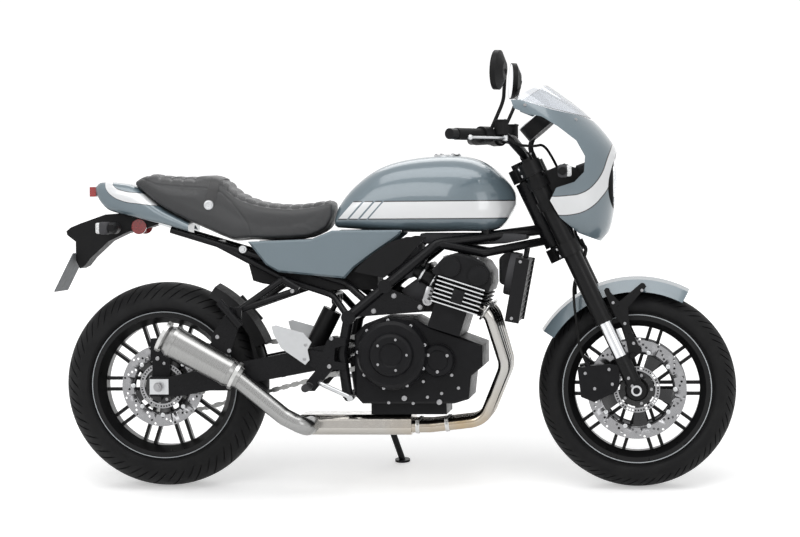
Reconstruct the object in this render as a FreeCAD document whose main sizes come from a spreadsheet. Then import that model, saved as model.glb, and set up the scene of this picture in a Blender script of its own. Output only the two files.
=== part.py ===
import FreeCAD, Part
import math
import os

from FreeCAD import Placement, Rotation, Vector
import Sketcher
from types import SimpleNamespace

# Cafe racer motorcycle, upright frame: X forward, Y to its left, Z up,
# origin on the floor below the middle of the wheelbase.
# Every piece is modelled upright and then leans with the machine onto its side stand.

# Driving sizes, millimetres and degrees
SIZES = {
    # stance and steering geometry
    "wheelbase": 1450, "lean_angle": 10, "rake_angle": 25, "fork_offset": 40, "steering_stop": 35,
    "overrun": 2, "running_gap": 0.3, "pin_gap": 0.05,
    # wheels and tyres
    "front_tyre_radius": 300, "front_tyre_width": 120, "front_crown_drop": 38,
    "rear_tyre_radius": 315.6, "rear_tyre_width": 180, "rear_crown_drop": 66,
    "rim_seat_radius": 214, "rim_flange": 12, "rim_well_depth": 24, "rim_lip": 5,
    "front_rim_width": 96, "rear_rim_width": 146,
    "hub_radius": 44, "front_hub_width": 104, "rear_hub_width": 150, "spoke_thickness": 26,
    "spoke_width": 10, "spoke_pair_gap": 34,
    "axle_radius": 11, "axle_head_radius": 16, "axle_head_length": 9, "wheel_bearing_radius": 21,
    "spacer_radius": 18,
    # brake discs
    "front_disc_radius": 150, "front_disc_inner": 116, "disc_thickness": 5, "front_disc_offset": 72,
    "disc_carrier_inner": 36, "disc_carrier_thickness": 4, "carrier_arms": 5, "carrier_rim": 8,
    "rear_disc_radius": 125, "rear_disc_inner": 90, "rear_disc_offset": 100,
    # chain drive
    "chain_pitch": 15.875, "rear_teeth": 42, "front_teeth": 16, "chain_offset": 110,
    "chain_width": 19, "chain_plate_height": 15, "chain_plate": 3.2, "chain_roller_radius": 5,
    "sprocket_thickness": 6, "front_sprocket_ahead": 84, "sprocket_flange_radius": 62,
    "sprocket_holes": 8, "sprocket_hole_radius": 11,
    # fork
    "fork_leg_offset": 105, "fork_tube_radius": 27, "fork_slider_radius": 20.5, "fork_foot_radius": 29,
    "fork_tube_bottom": 225, "fork_tube_top": 763, "fork_slider_bottom": 100, "fork_foot_top": 112,
    "fork_cap_radius": 17, "fork_cap_height": 9, "fork_foot_width": 50, "fork_barrel_radius": 24, "fork_seal_radius": 29,
    "fork_seal_height": 14,
    "lower_yoke_place": 474, "top_yoke_place": 740, "yoke_height": 42, "yoke_clamp_radius": 34,
    "yoke_stem_radius": 34, "stem_radius": 17, "stem_nut_radius": 19, "stem_nut_height": 14,
    "head_tube_radius": 30, "head_tube_gap": 4, "fit_gap": 0.1,
    # front mudguard and its braces
    "front_guard_gap": 29, "guard_thickness": 3, "front_guard_width": 144, "front_guard_skirt": 34,
    "front_guard_start": 62, "front_guard_sweep": 86,
    "brace_from": 22, "brace_reach": 138, "brace_low": 88, "brace_height": 230, "brace_thickness": 5,
    "brace_boss_radius": 8,
    # front calipers
    "front_caliper_back": -160, "front_caliper_length": 145, "front_caliper_low": 22,
    "front_caliper_height": 114, "caliper_inner_wall": 12, "caliper_gap": 5.5,
    # handlebar and controls
    "bar_radius": 11, "bar_clamp_x": 392, "bar_clamp_z": 1006, "bar_clamp_half": 88, "bar_rise": 66,
    "bar_bend_x": 340, "bar_bend_y": 190, "bar_end_x": 208, "bar_end_y": 400, "bar_end_z": 1070,
    "bar_riser_radius": 17, "bar_riser_offset": 45,
    "grip_radius": 17.5, "grip_length": 122, "bar_weight_length": 30, "bar_weight_radius": 16,
    "control_length": 42, "control_radius": 24, "bar_end_gap": 1,
    "lever_reach": 62, "lever_length": 165, "lever_thickness": 8, "lever_width": 15,
    "reservoir_radius": 21, "reservoir_height": 40,
    # mirrors
    "mirror_radius": 58, "mirror_thickness": 16, "mirror_x": 322, "mirror_y": 380, "mirror_z": 1256,
    "mirror_stem_radius": 5.5, "mirror_glass_thickness": 2,
    # instruments and headlamp
    "dial_radius": 48, "dial_depth": 46, "dial_x": 412, "dial_z": 1118, "dial_offset": 54,
    "dial_tilt": 50, "dial_bridge": 30, "dial_rim": 5, "post_radius": 8,
    "lamp_radius": 86, "lamp_z": 932, "lamp_face_x": 655, "lamp_bowl_depth": 112, "lamp_lens_bulge": 16,
    "lamp_bezel": 9, "lamp_ear_thickness": 6, "ear_x": 430, "ear_length": 182, "ear_z": 800,
    "ear_height": 185, "ear_low_place": 620, "ear_high_place": 690, "ear_clamp_height": 30,
    "indicator_length": 62, "indicator_radius": 18, "indicator_stalk_radius": 8,
    "front_indicator_x": 512, "front_indicator_z": 961, "front_indicator_y": 176,
    "rear_indicator_ahead": 165, "rear_indicator_z": 800, "rear_indicator_y": 96,
    # front cowl and screen
    "cowl_z": 745, "cowl_rise": 483, "cowl_x": 355, "cowl_reach": 320, "cowl_nose": 190,
    "cowl_half_width": 182, "cowl_wall": 4, "cowl_side_z": 749, "cowl_side_rise": 427,
    "cowl_stay_x": 560, "cowl_stay_z": 925,
    "screen_reach": 251, "screen_z": 1112, "screen_rise": 114,
    "lamp_ring_gap": 4,
    # radiator
    "radiator_x": 352, "radiator_z": 508, "radiator_height": 194, "radiator_thickness": 42,
    "radiator_half_width": 160, "radiator_tilt": 10.6, "radiator_tank": 26, "radiator_fin_inset": 6,
    "radiator_rows": 12, "radiator_row_height": 3,
    # engine
    "crank_x": -125, "crank_length": 388, "crank_z": 263, "crank_height": 259, "crank_half_width": 150,
    "block_x": 158, "block_z": 493, "block_tilt": 18, "barrel_low": -14, "barrel_high": 64,
    "barrel_back": 57, "barrel_front": 44, "barrel_half_width": 176,
    "fin_count": 7, "fin_thickness": 3.6, "fin_zone": 80, "fin_back": 82, "fin_front": 88,
    "fin_half_width": 190, "head_core_inset": 26, "cam_cover_height": 82, "cam_cover_back": 90,
    "cam_cover_front": 88, "cam_cover_half_width": 182, "cam_cap_radius": 30, "cam_cap_depth": 9,
    "clutch_x": -7, "clutch_z": 414, "clutch_radius": 108, "clutch_depth": 58, "cover_boss_radius": 8, "cover_bosses": 9,
    "pulse_x": 130, "pulse_z": 394, "pulse_radius": 50, "pulse_depth": 30,
    "generator_x": 118, "generator_z": 400, "generator_radius": 78, "generator_depth": 56,
    "case_chamfer": 6, "fin_corner": 12,
    "sump_length": 230, "sump_depth": 36, "sump_half_width": 105, "sump_x": -80,
    # exhaust
    "pipe_radius": 18.5, "port_spacing": 90, "header_front_x": 330, "header_low_z": 187,
    "header_back_x": 96, "collector_spacing": 44, "collector_bend": 70,
    "chamber_x": -300, "chamber_length": 340, "chamber_z": 162, "chamber_height": 62,
    "chamber_half_width": 92, "chamber_rounding": 22,
    "mid_pipe_radius": 33, "muffler_y": -206, "muffler_front_x": -467, "muffler_front_z": 344,
    "muffler_back_x": -706, "muffler_back_z": 475, "muffler_front_radius": 43, "muffler_back_radius": 49,
    "muffler_taper": 36, "muffler_outlet_radius": 24, "muffler_outlet_depth": 50,
    "muffler_band": 12, "muffler_band_proud": 2,
    # fuel tank
    "tank_mount_x": 272, "tank_mount_y": 78, "tank_mount_radius": 14,
    "tank_front_x": 361, "tank_length": 552, "tank_z": 785, "tank_height": 227, "tank_half_width": 150,
    "filler_x": 150, "filler_height": 8, "filler_neck_radius": 42,
    # seat and tail
    "saddle_gap": 5, "saddle_length": 617, "saddle_z": 757, "saddle_height": 209,
    "saddle_half_width": 122, "tail_overhang": 126, "tail_length": 299, "tail_z": 771, "tail_height": 171,
    "tail_half_width": 106, "saddle_seat_gap": 0.3,
    "tail_lamp_z": 912, "tail_lamp_height": 30, "tail_lamp_width": 84, "tail_lamp_depth": 20,
    # side panels
    "side_cover_x": -453, "side_cover_length": 471, "side_cover_z": 642, "side_cover_height": 146,
    "side_cover_thickness": 26, "side_cover_rounding": 6,
    "scoop_x": -124, "scoop_length": 218, "scoop_z": 644, "scoop_height": 123,
    "scoop_y": 118, "scoop_thickness": 26,
    # frame tubes
    "frame_tube_radius": 16, "frame_half_width": 140, "subframe_radius": 11,
    "subframe_half_width": 92, "rail_bend_z": 686, "rail_tip_ahead": 239,
    "cross_tube_radius": 9, "strut_radius": 10, "joint_cap_radius": 21, "joint_cap_proud": 3, "pivot_x": -164, "pivot_z": 415, "pivot_radius": 23,
    "frame_shoulder_x": 129, "frame_shoulder_z": 746,
    "frame_knee_x": -30, "frame_knee_z": 618, "frame_back_x": -143, "frame_back_z": 524,
    "frame_low_x": -147, "frame_low_z": 282, "mount_plate_thickness": 12,
    "head_joint_place": 556, "head_brace_place": 520,
    "brace_x": 268, "brace_y": 126, "brace_z": 716, "arm_front_x": -206, "inner_arm_y": 55,
    "inner_arm_width": 43, "pocket_radius": 62, "sprocket_cover_y": 127, "engine_mount_x": 75, "engine_mount_z": 554,
    "engine_lug_radius": 14, "battery_x": -466, "battery_length": 406, "battery_z": 606,
    "battery_height": 146, "battery_inset": 12,
    # swingarm, shock and hugger
    "arm_width": 30, "arm_y": 123, "arm_pivot_height": 90, "arm_axle_height": 60, "arm_cross_x": -352,
    "arm_cross_radius": 32, "arm_block": 58, "arm_block_proud": 4,
    "shock_radius": 30, "shock_top_x": -196, "shock_top_z": 568, "shock_low_x": -296,
    "shock_low_z": 373, "shock_rod_radius": 8, "shock_eye_radius": 13, "clevis_thickness": 6,
    "rear_guard_gap": 22, "rear_guard_width": 190, "rear_guard_start": 22, "rear_guard_sweep": 40,
    "rear_guard_skirt": 30, "guard_stay_reach": 296, "guard_stay_rise": 70, "guard_stay_radius": 6,
    # number plate holder
    "holder_overhang": 94, "holder_length": 293, "holder_z": 675, "holder_height": 170,
    "holder_half_width": 46, "plate_width": 180, "plate_height": 132, "plate_thickness": 3,
    "plate_ahead": 32, "plate_top_z": 722, "plate_tilt": 27,
    "reflector_radius": 23, "reflector_ahead": 230, "reflector_z": 803, "reflector_depth": 8,
    # foot controls
    "hanger_x": -262, "hanger_length": 69, "hanger_z": 317, "hanger_height": 145,
    "hanger_thickness": 10, "peg_radius": 12, "peg_length": 92,
    "heel_x": -374, "heel_length": 122, "heel_z": 383, "heel_height": 120, "heel_y": 176,
    "heel_thickness": 4, "pedal_x": -130, "pedal_z": 285, "pedal_radius": 7, "pedal_y": 200,
    "pedal_pad": 34, "gear_z": 322,
    "pillion_hanger_y": 140, "pillion_peg_y": 200, "pillion_peg_radius": 12,
    "pillion_top_x": -345, "pillion_top_z": 640, "pillion_low_x": -478, "pillion_low_z": 548,
    "pillion_tube_radius": 10, "pillion_peg_back_x": -531, "pillion_peg_back_z": 575,
    "pillion_peg_front_x": -466, "pillion_peg_front_z": 500,
    "bracket_x": -560, "bracket_length": 96, "bracket_z": 400, "bracket_height": 160,
    "bracket_y": 170, "bracket_thickness": 6,
    # side stand
    "stand_x": -95, "stand_y": 190, "stand_z": 285, "stand_radius": 10, "stand_foot_ahead": 70,
    "stand_foot_out": 88, "stand_foot_radius": 24, "stand_foot_thickness": 7,
    "stand_eye_radius": 17, "stand_eye_width": 23, "stand_lug_width": 8, "stand_pin_radius": 5,
    "stand_fold_reach": 262,
    # brake hoses
    "hose_radius": 4, "hose_bend": 1000, "hose_run": 24, "hose_joint_half": 14, "hose_joint_length": 24,
    "hose_joint_height": 20, "banjo_radius": 8, "banjo_height": 12,
}

document = FreeCAD.newDocument("cafe_racer")
sheet = document.addObject("Spreadsheet::Sheet", "dims")
for row, (alias, value) in enumerate(SIZES.items(), start=1):
    sheet.set("A%d" % row, alias)
    sheet.set("B%d" % row, str(value))
    sheet.setAlias("B%d" % row, alias)
document.recompute()
D = SimpleNamespace(**{alias: float(sheet.get(alias)) for alias in SIZES})

# Places that several pieces share
FRONT_X = D.wheelbase / 2
REAR_X = -D.wheelbase / 2
CROWN_LIFT = D.rear_tyre_width / 2 * (1 - math.cos(math.radians(D.lean_angle)))
LEAN = Placement(Vector(0, 0, CROWN_LIFT), Rotation(Vector(1, 0, 0), -D.lean_angle))
FORK = Placement(Vector(FRONT_X, 0, D.front_tyre_radius), Rotation(Vector(0, 1, 0), -D.rake_angle))
BLOCK = Placement(Vector(D.block_x, 0, D.block_z), Rotation(Vector(0, 1, 0), D.block_tilt))
UPRIGHT = Placement()
HANGER_Y = D.frame_half_width + D.frame_tube_radius + D.running_gap
COVER_Y = D.subframe_half_width + D.subframe_radius + D.running_gap
SPROCKET_X = D.pivot_x + D.front_sprocket_ahead
RIM_RADIUS = D.rim_seat_radius + D.rim_flange
TANK_X = D.tank_front_x - D.tank_length
SADDLE_X = TANK_X - D.saddle_gap - D.saddle_length
TAIL_X = SADDLE_X - D.tail_overhang
HOLDER_X = TAIL_X - D.holder_overhang
NODES = []


def keep(item, label, frame=UPRIGHT):
    """Name a finished piece and lean it with the machine."""
    item.Label = label
    item.Placement = LEAN.multiply(frame).multiply(item.Placement)
    NODES.append(item)


def keep_shape(label, shape, frame=UPRIGHT):
    """Keep a piece whose form has no feature of its own in the document."""
    item = document.addObject("Part::Feature", label)
    item.Shape = shape
    keep(item, label, frame)


def outline(shares, corner, length, height):
    """Points of an outline in the XZ plane from shares of its length and height."""
    return [(corner[0] + along * length, corner[1] + up * height) for along, up in shares]


def cut_block(low, high, corner):
    """Box between two corners, with its upright edges cut off."""
    corners = [Vector(low.x + corner, low.y, low.z), Vector(high.x - corner, low.y, low.z),
               Vector(high.x, low.y + corner, low.z), Vector(high.x, high.y - corner, low.z),
               Vector(high.x - corner, high.y, low.z), Vector(low.x + corner, high.y, low.z),
               Vector(low.x, high.y - corner, low.z), Vector(low.x, low.y + corner, low.z)]
    return Part.Face(Part.makePolygon(corners + corners[:1])).extrude(Vector(0, 0, high.z - low.z))


def slab(points, y_from, y_to):
    """Plate with an outline in the XZ plane."""
    corners = [Vector(x, y_from, z) for x, z in points]
    return Part.Face(Part.makePolygon(corners + corners[:1])).extrude(Vector(0, y_to - y_from, 0))


def block(low, high):
    """Box between two corners."""
    size = high - low
    return Part.makeBox(size.x, size.y, size.z, low)


def rod(start, end, radius):
    """Round bar between two points."""
    return Part.makeCylinder(radius, (end - start).Length, start, end - start)


def disc(x, y_from, y_to, z, radius):
    """Round piece across the machine."""
    return rod(Vector(x, y_from, z), Vector(x, y_to, z), radius)


def bent_path(points, bend):
    """Straight runs joined by tangent arcs of one radius, or the largest that the runs allow."""
    edges = []
    start = points[0]
    for before, corner, after in zip(points, points[1:], points[2:]):
        back = before - corner
        ahead = after - corner
        turn = math.pi - back.getAngle(ahead)
        half = math.tan(turn / 2)
        room_share = 0.45
        room = room_share * min(back.Length, ahead.Length)
        reach = min(bend * half, room)
        back.normalize()
        ahead.normalize()
        first = corner + back * reach
        last = corner + ahead * reach
        inward = (back + ahead).normalize()
        depth = reach / half / math.cos(turn / 2) - reach / half
        edges.append(Part.makeLine(start, first))
        edges.append(Part.Arc(first, corner + inward * depth, last).toShape())
        start = last
    edges.append(Part.makeLine(start, points[-1]))
    return Part.Wire(edges)


def tube(points, radius, bend):
    """Round tube along a bent path."""
    path = bent_path(points, bend)
    section = Part.Wire(Part.makeCircle(radius, points[0], points[1] - points[0]))
    return path.makePipeShell([section], True, False, 1)


def flipped(shape):
    """The same piece on the other side of the machine."""
    return shape.mirror(Vector(0, 0, 0), Vector(0, 1, 0))


def both_sides(shape):
    """A left and right pair that do not touch."""
    return Part.makeCompound([shape, flipped(shape)])


def ring(radius, inner, y_from, y_to, x=0, z=0):
    """Flat ring across the machine."""
    return disc(x, y_from, y_to, z, radius).cut(disc(x, y_from, y_to, z, inner))


def fused(first, *others):
    """One solid from pieces that meet."""
    return first.fuse(list(others)).removeSplitter()


# Section of a rounded body, shares of its half width and of its height
SECTION_SHARES = [(0, 0), (0.62, 0), (0.9, 0.09), (1, 0.36), (0.93, 0.66), (0.7, 0.89), (0.36, 0.985),
                  (0, 1)]
FLAT_SECTION_SHARES = [(0, 0), (0.7, 0), (0.95, 0.05), (1, 0.4), (0.95, 0.76), (0.78, 0.94),
                       (0.42, 0.99), (0, 1)]


def lofted_body(stations, section, straight=False):
    """Body lofted along the machine through rounded sections: x, low z, high z, half width."""
    wires = []
    for x, low, high, half in stations:
        right = [Vector(x, y * half, low + z * (high - low)) for y, z in section]
        left = [Vector(point.x, -point.y, point.z) for point in right[-2:0:-1]]
        curve = Part.BSplineCurve()
        curve.interpolate(Points=right + left, PeriodicFlag=True)
        wires.append(Part.Wire(curve.toShape()))
    return Part.makeLoft(wires, True, straight)


def scaled_stations(shares, x, length, z, height, half_width):
    """Stations of a lofted body from shares of its box."""
    return [(x + a * length, z + b * height, z + c * height, w * half_width) for a, b, c, w in shares]


def eased(shares, steps):
    """More stations of a body, on smooth curves through its own."""
    rows = []
    last = len(shares) - 1
    for index in range(last):
        near = (shares[max(index - 1, 0)], shares[index], shares[index + 1], shares[min(index + 2, last)])
        for step in range(steps):
            at = step / steps
            rows.append(tuple(b + at / 2 * (c - a + at * (2 * a - 5 * b + 4 * c - d + at * (3 * b - a - 3 * c + d)))
                              for a, b, c, d in zip(*near)))
    return rows + [shares[last]]


def turned(points, sweep=360, start=0):
    """Body turned about the Y axis from a closed outline of radius and y."""
    corners = [Vector(radius, y, 0) for radius, y in points]
    face = Part.Face(Part.makePolygon(corners + corners[:1]))
    face.rotate(Vector(0, 0, 0), Vector(0, 1, 0), -start)
    return face.revolve(Vector(0, 0, 0), Vector(0, 1, 0), -sweep)


# Wheels
def bound_sketch(body, name, plane, loops):
    """Sketch of closed loops whose corners are bound to expressions of the sheet."""
    role = [item for item in body.Origin.OriginFeatures if item.Role == plane][0]
    sketch = body.newObject("Sketcher::SketchObject", name)
    sketch.AttachmentSupport = (role, [""])
    sketch.MapMode = "FlatFace"
    for loop in loops:
        first = sketch.GeometryCount
        count = len(loop)
        for index in range(count):
            turn = 2 * math.pi * index / count
            onward = 2 * math.pi * (index + 1) / count
            start = Vector(math.cos(turn), math.sin(turn), 0)
            end = Vector(math.cos(onward), math.sin(onward), 0)
            sketch.addGeometry(Part.LineSegment(start, end))
        for index, (across, up) in enumerate(loop):
            line = first + index
            following = first + (index + 1) % count
            sketch.addConstraint(Sketcher.Constraint("Coincident", line, 2, following, 1))
            for kind, text in (("DistanceX", across), ("DistanceY", up)):
                number = sketch.addConstraint(Sketcher.Constraint(kind, -1, 1, line, 1, 1.0))
                sketch.setExpression("Constraints[%d]" % number, text)
    return sketch


def wheel(label, rim_width, hub_width, frame):
    """Cast wheel: rim, hub and ten pairs of thin spokes."""
    body = document.addObject("PartDesign::Body", label)
    half = "dims.%s / 2" % rim_width
    seat = "dims.%s / 2 - dims.rim_lip" % rim_width
    edge = "dims.rim_seat_radius + dims.rim_flange"
    well = "dims.rim_seat_radius - dims.rim_well_depth"
    rim = [(edge, half), (edge, seat), ("dims.rim_seat_radius", seat),
           ("dims.rim_seat_radius", "-(%s)" % seat), (edge, "-(%s)" % seat),
           (edge, "-(%s)" % half), ("dims.rim_seat_radius - dims.rim_lip", "-(%s)" % half),
           (well, "-dims.spoke_thickness"), (well, "dims.spoke_thickness"),
           ("dims.rim_seat_radius - dims.rim_lip", half)]
    bore = "dims.axle_radius + dims.pin_gap"
    hub_half = "dims.%s / 2" % hub_width
    neck = "dims.wheel_bearing_radius + dims.rim_lip"
    flange = "dims.%s / 2 - dims.rim_lip" % hub_width
    hub = [(bore, "-(%s)" % hub_half), ("dims.hub_radius", "-(%s)" % hub_half),
           ("dims.hub_radius", "-(%s)" % flange), (neck, "-(%s - dims.rim_lip)" % flange),
           ("dims.hub_radius", "-dims.spoke_thickness"), ("dims.hub_radius", "dims.spoke_thickness"),
           (neck, "%s - dims.rim_lip" % flange), ("dims.hub_radius", flange),
           ("dims.hub_radius", hub_half), (bore, hub_half)]
    profile = bound_sketch(body, label + "_profile", "XY_Plane", [rim, hub])
    turning = body.newObject("PartDesign::Revolution", label + "_turning")
    turning.Profile = profile
    turning.ReferenceAxis = (profile, ["V_Axis"])
    turning.Angle = 360
    document.recompute()
    low = "dims.spoke_pair_gap / 2 - dims.spoke_width / 2"
    high = "dims.spoke_pair_gap / 2 + dims.spoke_width / 2"
    near = "dims.hub_radius * 0.8"
    far = well + " + dims.rim_lip"
    pair = [[(near, low), (far, low), (far, high), (near, high)],
            [(near, "-(%s)" % high), (far, "-(%s)" % high), (far, "-(%s)" % low), (near, "-(%s)" % low)]]
    pad = body.newObject("PartDesign::Pad", label + "_spoke_pair")
    pad.Profile = bound_sketch(body, label + "_spokes", "XZ_Plane", pair)
    pad.setExpression("Length", "dims.spoke_thickness")
    pad.SideType = "Symmetric"
    pattern = body.newObject("PartDesign::PolarPattern", label + "_spoke_ring")
    pattern.Originals = [pad]
    pattern.Axis = ([item for item in body.Origin.OriginFeatures if item.Role == "Y_Axis"][0], [""])
    pattern.Angle = 360
    pattern.Occurrences = 10
    body.Tip = pattern
    keep(body, label, frame)


FRONT_AXLE = Placement(Vector(FRONT_X, 0, D.front_tyre_radius), Rotation())
REAR_AXLE = Placement(Vector(REAR_X, 0, D.rear_tyre_radius), Rotation())


def tyre(label, radius, width, drop, rim_width, frame):
    """Road tyre: beads in the rim, round sidewalls and a crown of one curve."""
    half = width / 2
    bead = rim_width / 2 - D.rim_lip - D.fit_gap
    seat = D.rim_seat_radius + D.fit_gap
    edge = Vector(radius - drop, half, 0)
    lip = Vector(RIM_RADIUS + D.rim_lip, bead, 0)
    wall = Vector((edge.x + lip.x) / 2, half - D.fit_gap, 0)
    crown = Part.Arc(edge, Vector(radius, 0, 0), Vector(edge.x, -edge.y, 0)).toShape()
    right_wall = Part.Arc(lip, wall, edge).toShape()
    left_wall = Part.Arc(Vector(edge.x, -edge.y, 0), Vector(wall.x, -wall.y, 0),
                         Vector(lip.x, -lip.y, 0)).toShape()
    foot = [Vector(lip.x, -bead, 0), Vector(seat, -bead, 0), Vector(seat, bead, 0), lip]
    base = [Part.makeLine(one, two) for one, two in zip(foot, foot[1:])]
    face = Part.Face(Part.Wire([crown, left_wall] + base + [right_wall]))
    keep_shape(label, face.revolve(Vector(0, 0, 0), Vector(0, 1, 0), 360), frame)


def disc_carrier(outer, y_from):
    """Carrier of a brake disc: an inner and an outer ring joined by arms."""
    y_to = y_from + D.disc_carrier_thickness
    low = D.hub_radius + D.carrier_rim
    high = outer - D.carrier_rim
    section = [(low, y_from - D.overrun), (high, y_from - D.overrun), (high, y_to + D.overrun),
               (low, y_to + D.overrun)]
    step = 360 / int(D.carrier_arms)
    window_share = 0.66
    windows = [turned(section, step * window_share, step * index) for index in range(int(D.carrier_arms))]
    return ring(outer, D.disc_carrier_inner, y_from, y_to).cut(windows)


def front_discs():
    """Pair of discs on their carriers, each carrier meeting the hub."""
    inner = D.front_disc_offset - D.disc_thickness / 2
    outer = inner + D.disc_thickness
    plate = ring(D.front_disc_radius, D.front_disc_inner, inner, outer)
    cup = disc_carrier(D.front_disc_inner, inner)
    neck = ring(D.hub_radius, D.disc_carrier_inner, D.front_hub_width / 2 + D.fit_gap, inner)
    keep_shape("front_discs", both_sides(fused(plate, cup, neck)), FRONT_AXLE)


def rear_disc():
    """Rear disc on the right side of the hub."""
    inner = D.rear_disc_offset - D.disc_thickness / 2
    plate = ring(D.rear_disc_radius, D.rear_disc_inner, inner, inner + D.disc_thickness)
    cup = disc_carrier(D.rear_disc_inner, inner)
    neck = ring(D.hub_radius, D.disc_carrier_inner, D.rear_hub_width / 2 + D.fit_gap, inner)
    keep_shape("rear_disc", flipped(fused(plate, cup, neck)), REAR_AXLE)


def sprocket_radius(teeth):
    """Radius of the chain's rollers round a sprocket."""
    return D.chain_pitch / 2 / math.sin(math.pi / teeth)


def toothed_plate(teeth, thickness, middle):
    """Sprocket plate whose teeth end inside the rollers."""
    pitch_radius = sprocket_radius(int(teeth))
    tip = pitch_radius - D.chain_roller_radius - D.fit_gap
    root = tip - D.chain_roller_radius
    corners = []
    for index in range(int(teeth)):
        for share, radius in ((0.0, root), (0.3, tip), (0.7, tip)):
            angle = 2 * math.pi * (index + share) / int(teeth)
            corners.append((radius * math.cos(angle), radius * math.sin(angle)))
    return slab(corners, middle - thickness / 2, middle + thickness / 2)


def rear_sprocket():
    """Rear sprocket with its carrier on the left side of the hub."""
    plate = toothed_plate(D.rear_teeth, D.sprocket_thickness, D.chain_offset)
    carrier = ring(D.sprocket_flange_radius, D.disc_carrier_inner, D.rear_hub_width / 2 + D.fit_gap,
                   D.chain_offset)
    bore = disc(0, 0, D.chain_offset * 2, 0, D.disc_carrier_inner)
    middle = (D.sprocket_flange_radius + sprocket_radius(int(D.rear_teeth)) - D.chain_plate_height) / 2
    holes = []
    for index in range(int(D.sprocket_holes)):
        turn = 2 * math.pi * index / int(D.sprocket_holes)
        holes.append(disc(middle * math.cos(turn), D.rear_hub_width / 2, D.chain_offset * 2,
                          middle * math.sin(turn), D.sprocket_hole_radius))
    keep_shape("rear_sprocket", fused(plate, carrier).cut([bore] + holes), REAR_AXLE)


def axle_set(half_width, hub_width, spacer_end):
    """Axle rod with its nuts, and a spacer sleeve on each side of the hub."""
    shaft = disc(0, -half_width, half_width, 0, D.axle_radius)
    nut = disc(0, half_width, half_width + D.axle_head_length, 0, D.axle_head_radius)
    sleeve = ring(D.spacer_radius, D.axle_radius - D.overrun, hub_width / 2 + D.running_gap, spacer_end)
    return fused(shaft, nut, flipped(nut), sleeve, flipped(sleeve))


def front_axle():
    """Front axle between the fork feet."""
    half = D.fork_leg_offset + D.fork_foot_width / 2
    keep_shape("front_axle", axle_set(half, D.front_hub_width, half - D.fork_foot_width - D.fit_gap),
               FRONT_AXLE)


# Fork and steering, fork frame: X forward of the legs, Z up along them, origin at the front axle
def leg_bar(low, high, radius):
    """Round bar along one fork leg."""
    return rod(Vector(0, D.fork_leg_offset, low), Vector(0, D.fork_leg_offset, high), radius)


def fork_tubes():
    """Upper fork tubes with their seals and top caps."""
    body = leg_bar(D.fork_tube_bottom, D.fork_tube_top, D.fork_tube_radius)
    seal = leg_bar(D.fork_tube_bottom, D.fork_tube_bottom + D.fork_seal_height, D.fork_seal_radius)
    cap = leg_bar(D.fork_tube_top, D.fork_tube_top + D.fork_cap_height, D.fork_cap_radius)
    keep_shape("fork_tubes", both_sides(fused(body, seal, cap)), FORK)


def fork_sliders():
    """Bright inner tubes between the upper tubes and the feet."""
    keep_shape("fork_sliders", both_sides(
        leg_bar(D.fork_foot_top, D.fork_tube_bottom, D.fork_slider_radius)), FORK)


def foot_shape(gap):
    """Cast foot of the left leg: barrel and axle clamp, grown by a gap."""
    inner = D.fork_leg_offset - D.fork_foot_width / 2
    outer = D.fork_leg_offset + D.fork_foot_width / 2
    barrel = leg_bar(0, D.fork_foot_top, D.fork_barrel_radius + gap)
    return barrel.fuse(disc(0, inner - gap, outer + gap, 0, D.fork_foot_radius + gap))


BRACE_SHARES = [(0.03, 0.00), (0.29, 0.04), (0.29, 0.40), (0.43, 0.64), (1.00, 0.79), (0.93, 0.86),
                (0.32, 0.76), (0.19, 1.00), (0.12, 0.98), (0.10, 0.63), (0.16, 0.43), (0.00, 0.05)]


BRACE_TIP_SHARES = [(0.18, 0.96), (0.93, 0.82)]


def fork_feet():
    """Cast feet that clamp the axle, with the flat braces of the mudguard beside them."""
    bore = disc(0, 0, D.fork_leg_offset * 2, 0, D.axle_radius + D.fit_gap)
    foot = foot_shape(0).removeSplitter().cut(bore)
    points = outline(BRACE_SHARES, (D.brace_from, D.brace_low), D.brace_reach, D.brace_height)
    inner = D.fork_leg_offset - D.fork_foot_width / 2 + D.fit_gap
    plate = slab(points, inner, inner + D.brace_thickness)
    low_boss = disc(D.fork_barrel_radius + D.brace_boss_radius + D.fit_gap, inner, D.fork_leg_offset,
                    D.brace_low + D.brace_boss_radius * 1.3, D.brace_boss_radius)
    high_bosses = [disc(x, D.front_guard_width / 4, inner + D.brace_thickness, z, D.brace_boss_radius)
                   for x, z in outline(BRACE_TIP_SHARES, (D.brace_from, D.brace_low), D.brace_reach,
                                       D.brace_height)]
    room = guard_room(D.front_tyre_radius + D.front_guard_gap, D.front_guard_width / 2,
                      D.front_guard_skirt, D.guard_thickness)
    keep_shape("fork_feet", both_sides(foot), FORK)
    keep_shape("mudguard_braces", both_sides(fused(plate, low_boss, *high_bosses).cut(room)), FORK)


def yoke(place):
    """Clamp that joins both legs to the steering stem."""
    half = D.yoke_height / 2
    low, high = place - half, place + half
    clamp = leg_bar(low, high, D.yoke_clamp_radius)
    neck = rod(Vector(-D.fork_offset, 0, low), Vector(-D.fork_offset, 0, high), D.yoke_stem_radius)
    web_share = 0.62
    arm = D.yoke_clamp_radius * web_share
    corners = [Vector(arm, D.fork_leg_offset, low), Vector(arm, -D.fork_leg_offset, low),
               Vector(-arm, -D.fork_leg_offset, low), Vector(-D.fork_offset - arm, 0, low),
               Vector(-arm, D.fork_leg_offset, low)]
    web = Part.Face(Part.makePolygon(corners + corners[:1])).extrude(Vector(0, 0, D.yoke_height))
    bore = leg_bar(low - D.overrun, high + D.overrun, D.fork_tube_radius + D.fit_gap)
    return fused(clamp, flipped(clamp), neck, web).cut(both_sides(bore))


def local_bar():
    """Place of the handlebar's clamped middle in the fork frame."""
    return FORK.inverse().multVec(Vector(D.bar_clamp_x, 0, D.bar_clamp_z))


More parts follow.
